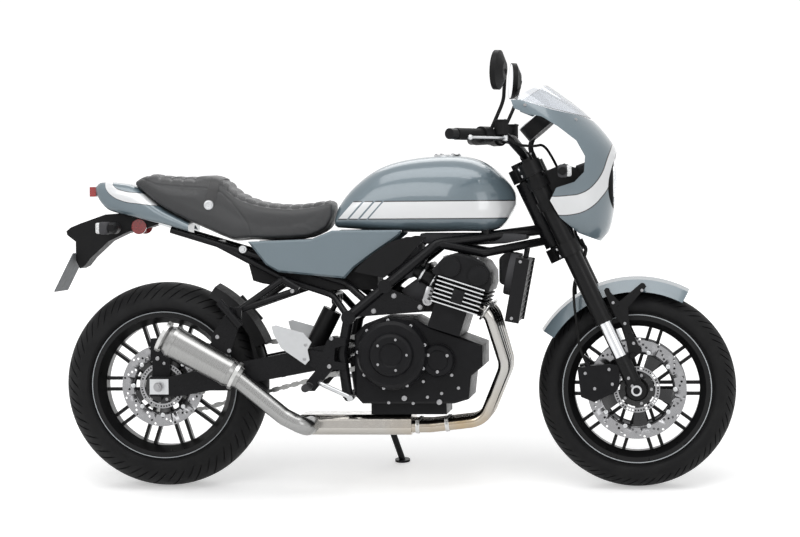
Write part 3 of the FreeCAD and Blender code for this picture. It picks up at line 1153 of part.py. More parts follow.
def saddle_shape():
    """Stepped seat for two."""
    stations = scaled_stations(eased(SADDLE_SHARES, 2), SADDLE_X, D.saddle_length, D.saddle_z, D.saddle_height,
                               D.saddle_half_width)
    return lofted_body(stations, FLAT_SECTION_SHARES, True)


def tail_shape():
    """Painted tail under and behind the seat, cut to the seat's form."""
    stations = scaled_stations(eased(TAIL_SHARES, 3), TAIL_X, D.tail_length, D.tail_z, D.tail_height,
                               D.tail_half_width)
    whole = lofted_body(stations, FLAT_SECTION_SHARES, True)
    seat = saddle_shape()
    lowered = seat.copy()
    lowered.translate(Vector(0, 0, -D.saddle_seat_gap))
    return max(whole.cut([seat, lowered]).Solids, key=lambda solid: solid.Volume)


SIDE_COVER_SHARES = [(0.00, 0.78), (0.12, 0.29), (0.20, 0.14), (0.63, 0.00), (0.69, 0.21), (0.83, 0.54),
                     (0.95, 0.80), (0.99, 0.90), (1.00, 1.00), (0.55, 1.00), (0.41, 0.82)]
SCOOP_SHARES = [(0.00, 0.15), (0.04, 0.25), (0.38, 0.81), (0.73, 1.00), (1.00, 0.99), (0.66, 0.34),
                (0.41, 0.00)]


def rounded_panel(points, y_from, thickness, rounding):
    """Panel with its outer edges rounded."""
    panel = slab(points, y_from, y_from + thickness)
    rim = [edge for edge in panel.Edges
           if min(vertex.Y for vertex in edge.Vertexes) > y_from + thickness / 2]
    return panel.makeChamfer(min(rounding, thickness / 2), rim)


def side_panels():
    """Side covers under the seat, and the scoops below the tank."""
    cover = outline(SIDE_COVER_SHARES, (D.side_cover_x, D.side_cover_z), D.side_cover_length,
                    D.side_cover_height)
    keep_shape("side_covers", both_sides(rounded_panel(cover, COVER_Y, D.side_cover_thickness,
                                                       D.side_cover_rounding)))
    scoop = outline(SCOOP_SHARES, (D.scoop_x, D.scoop_z), D.scoop_length, D.scoop_height)
    scoop_body = slab(scoop, D.scoop_y, D.scoop_y + D.scoop_thickness)
    room = slab(cover, COVER_Y - D.overrun, D.scoop_y + D.scoop_thickness + D.overrun)
    keep_shape("side_scoops", both_sides(scoop_body.cut(room)))


# Frame
def under_tail(x):
    """Height of the tail's underside at a place along it."""
    along = (x - TAIL_X) / D.tail_length
    rows = eased(TAIL_SHARES, 3)
    for near, far in zip(rows, rows[1:]):
        if near[0] <= along <= far[0]:
            share = near[1] + (far[1] - near[1]) * (along - near[0]) / (far[0] - near[0])
            return D.tail_z + share * D.tail_height
    return D.tail_z


def rail_places():
    """Bend of the left seat rail, its joint with the strut and its tip below the tail."""
    bend = Vector(D.pillion_top_x, D.subframe_half_width, D.rail_bend_z)
    tip_share = 0.7
    tip_x = TAIL_X + D.rail_tip_ahead
    tip = Vector(tip_x, D.subframe_half_width * tip_share, under_tail(tip_x) - D.subframe_radius * 1.12)
    joint_share = 0.6
    return bend, bend + (tip - bend) * joint_share, tip


def shock_bar_height():
    """Height of the frame's cross bar over the upper eye of the shock."""
    return D.shock_top_z + D.shock_eye_radius + D.running_gap + D.cross_tube_radius


def frame_side():
    """Left tubes of the frame: main tube, head brace, seat rail and its strut."""
    y = D.frame_half_width
    radius = D.frame_tube_radius
    joint = FORK.multVec(Vector(-D.fork_offset, 0, D.head_joint_place))
    shoulder = Vector(D.frame_shoulder_x, y, D.frame_shoulder_z)
    knee = Vector(D.frame_knee_x, y, D.frame_knee_z)
    back = Vector(D.frame_back_x, y, D.frame_back_z)
    pivot = Vector(D.pivot_x, y, D.pivot_z)
    low = Vector(D.frame_low_x, y, D.frame_low_z)
    main = tube([joint, shoulder, knee, back, pivot, low], radius, radius * 3)
    brace = tube(head_brace_points(), radius * 0.8, radius * 3)
    rail_y = D.subframe_half_width
    top = Vector(D.pillion_top_x, rail_y, D.pillion_top_z)
    inboard = Vector(back.x - radius, rail_y, knee.z + D.subframe_radius)
    bend, rail_joint, tip = rail_places()
    rail = tube([(knee + back) / 2, inboard, bend, tip], D.subframe_radius, D.subframe_radius * 4)
    strut_end = rail_joint + (rail_joint - top).normalize() * D.strut_radius / 2
    strut = tube([back, Vector(D.shock_top_x, rail_y, shock_bar_height()), top, strut_end],
                 D.strut_radius, D.subframe_radius * 4)
    return [main, brace, rail, strut]


def clevis_cheek(eye, reach):
    """Left cheek beside an eye of the shock, from the eye's middle to its carrier."""
    inner = D.shock_radius * 0.8 + D.running_gap
    low = eye + Vector(0, inner, 0)
    depth = Vector(0, D.clevis_thickness, 0)
    side = rod(low, low + depth, D.shock_eye_radius)
    along = Vector(reach.x, 0, reach.z)
    across = Vector(along.z, 0, -along.x).normalize() * D.shock_eye_radius
    corners = [low + across, low + across + along, low - across + along, low - across]
    return side.fuse(Part.Face(Part.makePolygon(corners + corners[:1])).extrude(depth))


def clevis_bolt(eye):
    """Bolt through both cheeks and the eye of the shock."""
    half = D.shock_radius * 0.8 + D.running_gap + D.clevis_thickness
    return disc(eye.x, -half, half, eye.z, D.stand_pin_radius)


def main_frame():
    """Tubular frame with its head tube, seat rails, pivot tube and side stand bracket."""
    side = frame_side()
    gap = D.yoke_height / 2 + D.head_tube_gap
    foot = Vector(-D.fork_offset, 0, D.lower_yoke_place + gap)
    top = Vector(-D.fork_offset, 0, D.top_yoke_place - gap)
    head = rod(foot, top, D.head_tube_radius)
    reach = Vector(0, 0, D.overrun)
    bore = rod(foot - reach, top + reach, D.stem_radius + D.pin_gap)
    head.Placement = FORK.multiply(head.Placement)
    bore.Placement = FORK.multiply(bore.Placement)
    y = D.frame_half_width
    rail_joint = rail_places()[1]
    places = ((D.frame_back_x, D.frame_back_z, y, D.frame_tube_radius * 0.8),
              (D.frame_low_x, D.frame_low_z, y, D.frame_tube_radius * 0.8),
              (D.pivot_x, D.pivot_z, y, D.axle_radius),
              (D.pillion_top_x, D.pillion_top_z, D.subframe_half_width, D.cross_tube_radius),
              (D.shock_top_x, shock_bar_height(), D.subframe_half_width, D.cross_tube_radius),
              (rail_joint.x, rail_joint.z, rail_joint.y, D.cross_tube_radius))
    cross = [disc(x, -half, half, z, radius) for x, z, half, radius in places]
    cap_end = y + D.frame_tube_radius + D.joint_cap_proud
    caps = [disc(x, y - D.frame_tube_radius / 2, cap_end, z, D.joint_cap_radius)
            for x, z in ((D.frame_knee_x, D.frame_knee_z), (D.frame_back_x, D.frame_back_z))]
    lug = D.engine_lug_radius
    plate = slab([(D.frame_knee_x, D.frame_knee_z), (D.engine_mount_x + lug / 2, D.engine_mount_z + lug),
                  (D.engine_mount_x + lug, D.engine_mount_z),
                  (D.engine_mount_x + lug / 2, D.engine_mount_z - lug),
                  (D.frame_back_x, D.frame_back_z)],
                 y - D.mount_plate_thickness / 2, y + D.mount_plate_thickness / 2)
    side += caps + [plate]
    cheek = clevis_cheek(Vector(D.shock_top_x, 0, D.shock_top_z),
                         Vector(0, 0, shock_bar_height() - D.shock_top_z))
    tank = tank_shape()
    tank.translate(Vector(0, 0, -D.running_gap))
    mount = Vector(D.tank_mount_x, D.tank_mount_y, D.frame_shoulder_z + D.frame_tube_radius)
    foot = rod(mount, Vector(mount.x, mount.y, D.tank_z + D.frame_tube_radius), D.tank_mount_radius)
    foot = foot.cut(tank)
    foot = min(foot.Solids, key=lambda solid: solid.CenterOfMass.z)
    parts = side + [flipped(part) for part in side] + cross + stand_lugs()
    bolt = clevis_bolt(Vector(D.shock_top_x, 0, D.shock_top_z))
    parts += [cheek, flipped(cheek), bolt, foot, flipped(foot)]
    whole = head.fuse(parts).removeSplitter()
    keep_shape("main_frame", whole.cut(bore))


BATTERY_WALL_SHARES = [(0.00, 0.74), (0.05, 0.20), (0.12, 0.14), (0.44, 0.00), (0.44, 1.00), (0.08, 0.96)]
BATTERY_SHARES = [(0.41, 0.00), (1.00, 0.00), (1.00, 1.00), (0.41, 1.00)]


def battery_tray():
    """Battery and air box between the side covers, with its wall ahead of the rear wheel."""
    half = D.subframe_half_width - D.subframe_radius - D.running_gap
    rear = half - D.battery_inset
    wall = slab(outline(BATTERY_WALL_SHARES, (D.battery_x, D.battery_z), D.battery_length, D.battery_height),
                -rear, rear)
    box = slab(outline(BATTERY_SHARES, (D.battery_x, D.battery_z), D.battery_length, D.battery_height),
               -half, half)
    tube_room = disc(D.pillion_top_x, -half * 2, half * 2, D.pillion_top_z,
                     D.cross_tube_radius + D.running_gap)
    keep_shape("air_box", fused(wall, box).cut(tube_room))


# Swingarm, shock, chain
def swingarm():
    """Swingarm: outer beams to the axle, inner arms to the pivot and their cross tube."""
    rear_z = D.rear_tyre_radius
    axle_half = D.arm_axle_height / 2
    pivot_half = D.arm_pivot_height / 2
    cross_z = D.pivot_z - D.arm_cross_radius * 1.3
    points = [(REAR_X - D.arm_block / 2, rear_z - axle_half), (REAR_X + D.arm_block, rear_z - axle_half),
              (D.arm_front_x, D.pivot_z - pivot_half), (D.arm_front_x, D.pivot_z + pivot_half * 0.6),
              (REAR_X + D.arm_block * 2, rear_z + axle_half * 1.6),
              (REAR_X + D.arm_block / 2, rear_z + axle_half), (REAR_X - D.arm_block / 2, rear_z + axle_half)]
    beam = slab(points, D.arm_y, D.arm_y + D.arm_width)
    hole = disc(REAR_X, 0, D.arm_y * 2, rear_z, D.axle_radius + D.fit_gap)
    inner_points = [(D.arm_cross_x, cross_z - D.arm_cross_radius * 0.7),
                    (D.pivot_x, D.pivot_z - D.pivot_radius), (D.pivot_x, D.pivot_z + D.pivot_radius),
                    (D.arm_cross_x, cross_z + D.arm_cross_radius * 0.7)]
    inner = slab(inner_points, D.inner_arm_y, D.inner_arm_y + D.inner_arm_width)
    eye_half = D.inner_arm_y + D.inner_arm_width
    eye = disc(D.pivot_x, -eye_half, eye_half, D.pivot_z, D.pivot_radius)
    cross = disc(D.arm_cross_x, -D.arm_y, D.arm_y, cross_z, D.arm_cross_radius)
    bolt = disc(D.pivot_x, -D.arm_y, D.arm_y, D.pivot_z, D.axle_radius + D.fit_gap)
    beam = beam.cut(hole)
    low = Vector(D.shock_low_x, 0, D.shock_low_z)
    cheek = clevis_cheek(low, Vector(D.arm_cross_x - D.shock_low_x, 0, cross_z - D.shock_low_z))
    whole = cross.fuse([eye, inner, flipped(inner), beam, flipped(beam), cheek, flipped(cheek),
                        clevis_bolt(low)])
    keep_shape("swingarm", whole.cut(bolt))


def rear_axle():
    """Rear axle with its spacers, and the adjuster blocks on the ends of the swingarm."""
    outer = D.arm_y + D.arm_width + D.running_gap
    half = D.arm_block / 2
    plate = block(Vector(-half, outer, -half * 0.8), Vector(half, outer + D.arm_block_proud, half * 0.8))
    spindle = axle_set(outer + D.arm_block_proud, D.rear_hub_width, D.arm_y - D.fit_gap)
    keep_shape("rear_axle", fused(spindle, plate, flipped(plate)), REAR_AXLE)


def shock():
    """Rear shock between the frame and the swingarm."""
    low = Vector(D.shock_low_x, 0, D.shock_low_z)
    top = Vector(D.shock_top_x, 0, D.shock_top_z)
    along = (top - low).normalize()
    body = rod(low + along * D.shock_radius, top - along * D.shock_radius, D.shock_radius)
    shaft = rod(low, top, D.shock_rod_radius)
    half = D.shock_radius * 0.8
    eyes = [disc(point.x, -half, half, point.z, D.shock_eye_radius) for point in (low, top)]
    bores = [disc(point.x, -half, half, point.z, D.stand_pin_radius + D.fit_gap) for point in (low, top)]
    keep_shape("rear_shock", fused(body, shaft, *eyes).cut(bores))


def chain_line(offset):
    """Closed outline of the chain's run round both sprockets, moved out by an offset."""
    small = Vector(SPROCKET_X, 0, D.pivot_z)
    large = Vector(REAR_X, 0, D.rear_tyre_radius)
    small_radius = sprocket_radius(int(D.front_teeth)) + offset
    large_radius = sprocket_radius(int(D.rear_teeth)) + offset
    run = small - large
    lean = math.asin((large_radius - small_radius) / run.Length)
    slope = math.atan2(run.z, run.x)

    def rim(centre, radius, angle):
        return Vector(centre.x + radius * math.cos(angle), 0, centre.z + radius * math.sin(angle))
    top = slope + math.pi / 2 - lean
    bottom = slope - math.pi / 2 + lean
    edges = [Part.makeLine(rim(large, large_radius, top), rim(small, small_radius, top)),
             Part.Arc(rim(small, small_radius, top), rim(small, small_radius, slope),
                      rim(small, small_radius, bottom)).toShape(),
             Part.makeLine(rim(small, small_radius, bottom), rim(large, large_radius, bottom)),
             Part.Arc(rim(large, large_radius, bottom), rim(large, large_radius, slope + math.pi),
                      rim(large, large_radius, top)).toShape()]
    return Part.Wire(edges)


def chain():
    """Closed chain: rollers and inner plates as one loop, with the outer plates of every other link."""
    middle = D.chain_offset
    outer = D.chain_width / 2
    inner = outer - D.chain_plate
    loop = Part.Face(chain_line(D.chain_roller_radius)).cut(Part.Face(chain_line(-D.chain_roller_radius)))
    loop = loop.extrude(Vector(0, inner * 2, 0))
    loop.translate(Vector(0, middle - inner, 0))
    line = chain_line(0)
    count = 2 * round(line.Length / D.chain_pitch / 2)
    pins = line.discretize(Number=count + 1)
    half = D.chain_plate_height / 2
    plates = []
    for one, two in zip(pins[0:count:2], pins[1:count:2]):
        along = (two - one).normalize() * half
        across = Vector(-along.z, 0, along.x)
        corners = [one - along, one + across, two + across, two + along, two - across, one - across]
        for y_from in (middle - outer, middle + inner - D.chain_plate / 2):
            points = [(corner.x, corner.z) for corner in corners]
            plates.append(slab(points, y_from, y_from + D.chain_plate * 1.5))
    keep_shape("chain", loop.fuse(plates))


def front_sprocket():
    """Small sprocket on the gearbox shaft."""
    plate = toothed_plate(D.front_teeth, D.sprocket_thickness, D.chain_offset)
    plate.translate(Vector(SPROCKET_X, 0, D.pivot_z))
    shaft = disc(SPROCKET_X, D.chain_offset - D.chain_width + D.fit_gap, D.chain_offset + D.sprocket_thickness,
                 D.pivot_z, D.spacer_radius)
    keep_shape("front_sprocket", fused(plate, shaft))


def rear_hugger():
    """Inner guard over the front of the rear tyre."""
    inner = D.rear_tyre_radius + D.rear_guard_gap
    half = D.rear_guard_width / 2
    points = guard_section(inner, half, D.rear_guard_skirt, D.guard_thickness)
    shell = turned(points, D.rear_guard_sweep, D.rear_guard_start)
    edge = inner - D.rear_guard_skirt + D.guard_thickness
    corners = []
    for share in (0.06, 0.22):
        turn = math.radians(D.rear_guard_start + D.rear_guard_sweep * share)
        corners.append((edge * math.cos(turn), edge * math.sin(turn)))
    width = D.guard_stay_radius * 1.3
    corners += [(D.guard_stay_reach - width, D.guard_stay_rise - width),
                (D.guard_stay_reach + width, D.guard_stay_rise - width)]
    strap = slab(corners, half - D.guard_thickness, half)
    peg = disc(D.guard_stay_reach, half - D.guard_thickness, D.arm_y - D.running_gap, D.guard_stay_rise,
               D.guard_stay_radius)
    stay = strap.fuse(peg)
    keep_shape("rear_hugger", fused(shell, stay, flipped(stay)), REAR_AXLE)


def rear_caliper():
    """Caliper over the rear disc, on a bracket round the axle."""
    middle = D.rear_disc_offset
    inner = middle - D.disc_thickness / 2 - D.caliper_gap
    outer = D.arm_y - D.running_gap
    low = D.rear_disc_radius * 0.62
    high = D.rear_disc_radius * 1.16
    body = block(Vector(-D.arm_block * 0.55, inner - D.caliper_inner_wall, low),
                 Vector(D.arm_block * 0.55, outer, high))
    slot = ring(D.rear_disc_radius + D.caliper_gap, D.hub_radius, inner,
                middle + D.disc_thickness / 2 + D.caliper_gap)
    width = D.spacer_radius * 1.5
    bracket = block(Vector(-width, middle + D.disc_thickness / 2 + D.caliper_gap, -width),
                    Vector(width, outer, low + D.rim_lip))
    hole = disc(0, 0, outer + D.overrun, 0, D.spacer_radius + D.fit_gap)
    whole = fused(body, bracket).cut([slot, hole])
    keep_shape("rear_caliper", flipped(whole), REAR_AXLE)


# Rear end
HOLDER_SHARES = [(0.00, 0.68), (0.05, 0.75), (0.15, 0.82), (0.42, 0.98), (0.59, 1.00), (1.00, 0.81),
                 (0.89, 0.74), (0.66, 0.66), (0.45, 0.49), (0.26, 0.19), (0.19, 0.04), (0.14, 0.00),
                 (0.10, 0.15), (0.10, 0.49), (0.01, 0.61)]


def plate_holder():
    """Holder below the tail that carries the number plate."""
    points = outline(HOLDER_SHARES, (HOLDER_X, D.holder_z), D.holder_length, D.holder_height)
    holder = slab(points, -D.holder_half_width, D.holder_half_width)
    holder = holder.cut([tail_shape(), number_plate_shape(D.plate_thickness + D.running_gap)])
    keep_shape("plate_holder", max(holder.Solids, key=lambda solid: solid.Volume))


def number_plate_shape(thickness):
    """Plate hanging below its upper edge, tilted forward at the foot."""
    plate = block(Vector(-thickness, -D.plate_width / 2, -D.plate_height), Vector(0, D.plate_width / 2, 0))
    plate.Placement = Placement(Vector(HOLDER_X + D.plate_ahead, 0, D.plate_top_z),
                                Rotation(Vector(0, 1, 0), D.plate_tilt))
    return plate


def number_plate():
    """Blank number plate."""
    keep_shape("number_plate", number_plate_shape(D.plate_thickness))


def rear_lights():
    """Tail lamp, side reflectors and rear turn signals."""
    half = D.tail_lamp_height / 2
    lamp = block(Vector(TAIL_X - D.tail_lamp_depth, -D.tail_lamp_width / 2, D.tail_lamp_z - half),
                 Vector(TAIL_X - D.fit_gap, D.tail_lamp_width / 2, D.tail_lamp_z + half))
    keep_shape("tail_lamp", lamp)
    signal = indicator(HOLDER_X + D.rear_indicator_ahead, D.rear_indicator_y, D.rear_indicator_z,
                       D.holder_half_width)
    keep_shape("rear_indicators", both_sides(signal))
    seat_y = D.holder_half_width + D.fit_gap
    keep_shape("side_reflectors", both_sides(disc(HOLDER_X + D.reflector_ahead, seat_y,
                                                  seat_y + D.reflector_depth, D.reflector_z,
                                                  D.reflector_radius)))


# Foot controls
HANGER_SHARES = [(1.00, 1.04), (1.62, 1.00), (1.62, 0.86), (1.16, 0.80), (1.10, 0.52), (1.62, 0.48),
                 (1.62, 0.34), (1.02, 0.34), (0.24, -0.10), (-0.12, -0.10), (-0.12, 0.10), (0.30, 0.34),
                 (-0.30, 0.56), (-0.30, 0.78), (0.62, 0.72), (0.80, 0.95)]
HEEL_SHARES = [(0.00, 0.97), (0.11, 1.00), (0.81, 0.80), (1.00, 0.57), (0.90, 0.38), (0.95, 0.12),
               (0.84, 0.00), (0.24, 0.42), (0.05, 0.78)]


def peg_hangers():
    """Plates on the frame that carry the rider's pegs."""
    points = outline(HANGER_SHARES, (D.hanger_x, D.hanger_z), D.hanger_length, D.hanger_height)
    plate = slab(points, HANGER_Y, HANGER_Y + D.hanger_thickness)
    keep_shape("peg_hangers", both_sides(plate))


def foot_controls():
    """Rider's pegs, heel guards, brake pedal on the right and gear lever on the left."""
    start_y = HANGER_Y + D.hanger_thickness + D.fit_gap
    peg = disc(D.hanger_x, start_y, start_y + D.peg_length, D.hanger_z, D.peg_radius)
    guard = slab(outline(HEEL_SHARES, (D.heel_x, D.heel_z), D.heel_length, D.heel_height),
                 D.heel_y, D.heel_y + D.heel_thickness)
    spacer = disc(D.heel_x + D.heel_length - D.pedal_radius * 3, start_y, D.heel_y,
                  D.heel_z + D.heel_height * 0.2, D.pedal_radius)
    pivot = Vector(D.hanger_x + D.peg_radius * 3, start_y, D.hanger_z + D.peg_radius)
    knee = Vector(pivot.x, D.pedal_y, pivot.z)
    pieces = [peg, flipped(peg), fused(guard, spacer), flipped(fused(guard, spacer))]
    for tip_z, side in ((D.gear_z, 1), (D.pedal_z, -1)):
        tip = Vector(D.pedal_x, D.pedal_y, tip_z)
        arm = fused(tube([pivot, knee, tip], D.pedal_radius, D.pedal_radius * 2),
                    rod(tip - Vector(0, D.pedal_radius * 1.5, 0), tip + Vector(0, D.pedal_pad, 0),
                        D.pedal_radius * 1.3))
        pieces.append(arm if side > 0 else flipped(arm))
    keep_shape("foot_controls", Part.makeCompound(pieces))


BRACKET_SHARES = [(1.00, 0.98), (0.62, 1.00), (0.00, 0.44), (0.04, 0.08), (0.54, 0.00), (0.96, 0.72)]


def pillion_hangers():
    """Brackets of the pillion pegs, with the muffler's hanger on the right."""
    y = D.pillion_hanger_y
    top = Vector(D.pillion_top_x, y, D.pillion_top_z)
    front = Vector(D.pillion_top_x + D.pillion_tube_radius * 5, y, D.pillion_top_z - D.pillion_tube_radius * 3)
    low = Vector(D.pillion_low_x, y, D.pillion_low_z)
    radius = D.pillion_tube_radius
    inner = rod(Vector(top.x, D.subframe_half_width + D.strut_radius + D.fit_gap, top.z), top, radius)
    arms = [rod(top, low, radius), rod(front, low, radius), rod(top, front, radius)]
    peg_low = Vector(D.pillion_peg_front_x, D.pillion_peg_y, D.pillion_peg_front_z)
    peg_high = Vector(D.pillion_peg_back_x, D.pillion_peg_y, D.pillion_peg_back_z)
    middle = (peg_low + peg_high) / 2
    knuckle = rod(low, middle, radius)
    hanger = fused(inner, *arms, knuckle, rod(peg_low, peg_high, D.pillion_peg_radius))
    bracket = slab(outline(BRACKET_SHARES, (D.bracket_x, D.bracket_z), D.bracket_length, D.bracket_height),
                   -D.bracket_y - D.bracket_thickness, -D.bracket_y).cut(muffler_can(D.running_gap)[0])
    bracket = max(bracket.Solids, key=lambda solid: solid.CenterOfMass.z)
    keep_shape("pillion_hangers", Part.makeCompound([hanger, fused(flipped(hanger), bracket)]))


# Side stand
def stand_directions():
    """Directions of the stand's leg when down and when folded back."""
    foot_y = D.stand_y + D.stand_foot_out
    floor = foot_y * math.tan(math.radians(D.lean_angle)) - CROWN_LIFT / math.cos(math.radians(D.lean_angle))
    down = Vector(D.stand_foot_ahead, D.stand_foot_out, floor - D.stand_z)
    folded = Vector(-D.stand_fold_reach, D.stand_eye_radius, -D.stand_eye_radius * 2)
    return down, folded


def stand_axis():
    """Pivot of the side stand and the direction of its pin, outward from the frame."""
    down, folded = stand_directions()
    axis = down.cross(folded).normalize()
    if axis.y < 0:
        axis = axis * -1
    return Vector(D.stand_x, D.stand_y, D.stand_z), axis


def stand_lugs():
    """Lug, pin and pin head that hold the side stand on the frame."""
    pivot, axis = stand_axis()
    side = D.stand_eye_width / 2 + D.running_gap
    lug = rod(pivot - axis * (side + D.stand_lug_width), pivot - axis * side, D.stand_eye_radius)
    pin = rod(pivot - axis * (side + D.overrun), pivot + axis * (side + D.overrun), D.stand_pin_radius)
    head = rod(pivot + axis * side, pivot + axis * (side + D.stand_pin_radius), D.stand_pin_radius * 1.8)
    root = Vector(D.frame_low_x, D.frame_half_width, D.frame_low_z)
    arm = rod(root, pivot - axis * (side + D.stand_lug_width / 2), D.stand_lug_width * 0.9)
    clear = rod(pivot - axis * side, pivot + axis * side, D.stand_eye_radius * 1.6)
    return [lug.fuse(arm).cut(clear), pin, head]


def side_stand():
    """Leg of the side stand with its eye and its foot flat on the floor."""
    pivot, axis = stand_axis()
    down, folded = stand_directions()
    up = LEAN.Rotation.inverted().multVec(Vector(0, 0, 1))
    foot = pivot + down
    leg = rod(pivot, foot + up * D.stand_foot_thickness / 2, D.stand_radius)
    sole = Part.makeCylinder(D.stand_foot_radius, D.stand_foot_thickness, foot, up)
    above = Part.makeCylinder(D.stand_foot_radius * 4, down.Length * 1.2, foot, up)
    half = D.stand_eye_width / 2
    eye = rod(pivot - axis * half, pivot + axis * half, D.stand_eye_radius)
    bore = rod(pivot - axis * D.stand_eye_width, pivot + axis * D.stand_eye_width,
               D.stand_pin_radius + D.pin_gap)
    keep_shape("side_stand", fused(leg.common(above), sole, eye).cut(bore))


# The whole machine
def build():
    """Make every piece."""
    wheel("front_wheel", "front_rim_width", "front_hub_width", FRONT_AXLE)
    wheel("rear_wheel", "rear_rim_width", "rear_hub_width", REAR_AXLE)
    tyre("front_tyre", D.front_tyre_radius, D.front_tyre_width, D.front_crown_drop, D.front_rim_width,
         FRONT_AXLE)
    tyre("rear_tyre", D.rear_tyre_radius, D.rear_tyre_width, D.rear_crown_drop, D.rear_rim_width, REAR_AXLE)
    front_discs()
    rear_disc()
    rear_sprocket()
    front_axle()
    rear_axle()
    fork_tubes()
    fork_sliders()
    fork_feet()
    fork_yokes()
    front_mudguard()
    front_calipers()
    brake_hoses()
    handlebar()
    grips()
    control_sets()
    levers()
    mirror_parts()
    instruments()
    headlamp()
    keep_shape("front_indicators", both_sides(indicator(
        D.front_indicator_x, D.front_indicator_y, D.front_indicator_z,
        D.fork_leg_offset + D.lamp_ear_thickness / 2)))
    cowl_and_screen()
    crankcase()
    engine_covers()
    cylinders()
    cam_cover()
    radiator()
    exhaust_manifold()
    muffler()
    fuel_tank()
    keep_shape("saddle", saddle_shape())
    keep_shape("tail_cowl", tail_shape())
    side_panels()
    main_frame()
    battery_tray()
    swingarm()
    shock()
    chain()
    front_sprocket()
    rear_hugger()
    rear_caliper()
    plate_holder()
    number_plate()
    rear_lights()
    peg_hangers()
    foot_controls()
    pillion_hangers()
    side_stand()


build()
document.recompute()
for item in document.Objects:
    if "Invalid" in item.State or "Error" in item.State:
        raise RuntimeError("failed feature: " + item.Name)
for node in NODES:
    if node.Shape.isNull() or not node.Shape.isValid():
        raise RuntimeError("bad shape: " + node.Label)
os.makedirs("parts", exist_ok=True)
for node in NODES:
    node.Shape.exportStep("parts/" + node.Label + ".step")
    print(node.Label, round(node.Shape.Volume), len(node.Shape.Solids))
print(len(NODES), "pieces")
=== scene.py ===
"""Cafe racer motorcycle on its side stand.

Finishes, road tyres, padded seat, drilled discs, lamps, dials, engine details, switches and
fasteners.
"""

import functools
import math

import bmesh
import bpy
from mathutils import Matrix, Vector
from mathutils.bvhtree import BVHTree


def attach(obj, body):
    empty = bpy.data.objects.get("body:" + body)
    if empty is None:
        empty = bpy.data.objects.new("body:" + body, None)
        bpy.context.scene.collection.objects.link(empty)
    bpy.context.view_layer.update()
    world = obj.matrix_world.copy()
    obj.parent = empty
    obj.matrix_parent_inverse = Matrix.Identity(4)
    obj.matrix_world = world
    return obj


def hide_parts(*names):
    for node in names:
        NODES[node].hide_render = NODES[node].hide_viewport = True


bl_info = {
    "name": "Cafe Racer Motorcycle",
    "version": (1, 0, 0),
    "blender": (4, 5, 0),
    "location": "View3D > Sidebar > Motorcycle",
    "description": "Finishes and details of a cafe racer motorcycle round its packed frame",
    "category": "Object",
}

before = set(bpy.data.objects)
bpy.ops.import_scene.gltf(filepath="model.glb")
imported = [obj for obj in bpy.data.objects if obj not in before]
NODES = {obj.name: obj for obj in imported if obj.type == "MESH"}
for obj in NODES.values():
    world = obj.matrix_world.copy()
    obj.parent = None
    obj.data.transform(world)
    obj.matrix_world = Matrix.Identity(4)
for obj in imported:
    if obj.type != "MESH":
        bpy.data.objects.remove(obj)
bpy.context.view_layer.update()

# Upright frame of the machine, millimetres, and how it leans on its stand
LEAN_ANGLE = math.radians(10)
CROWN_LIFT = 0.09 * (1 - math.cos(LEAN_ANGLE))
LEAN = Matrix.Translation((0, 0, CROWN_LIFT)) @ Matrix.Rotation(-LEAN_ANGLE, 4, "X")
MM = 0.001
FRONT_HUB, REAR_HUB = (725, 0, 300), (-725, 0, 315.6)
FRONT_AXLE = Vector(FRONT_HUB) * MM
REAR_AXLE = Vector(REAR_HUB) * MM
RAKE = math.radians(25)
FORK = Matrix.Translation(FRONT_AXLE) @ Matrix.Rotation(-RAKE, 4, "Y")
RIGHT, LEFT, UP = (0, -1, 0), (0, 1, 0), (0, 0, 1)
UPRIGHT = Matrix.Rotation(math.pi / 2, 4, "X")


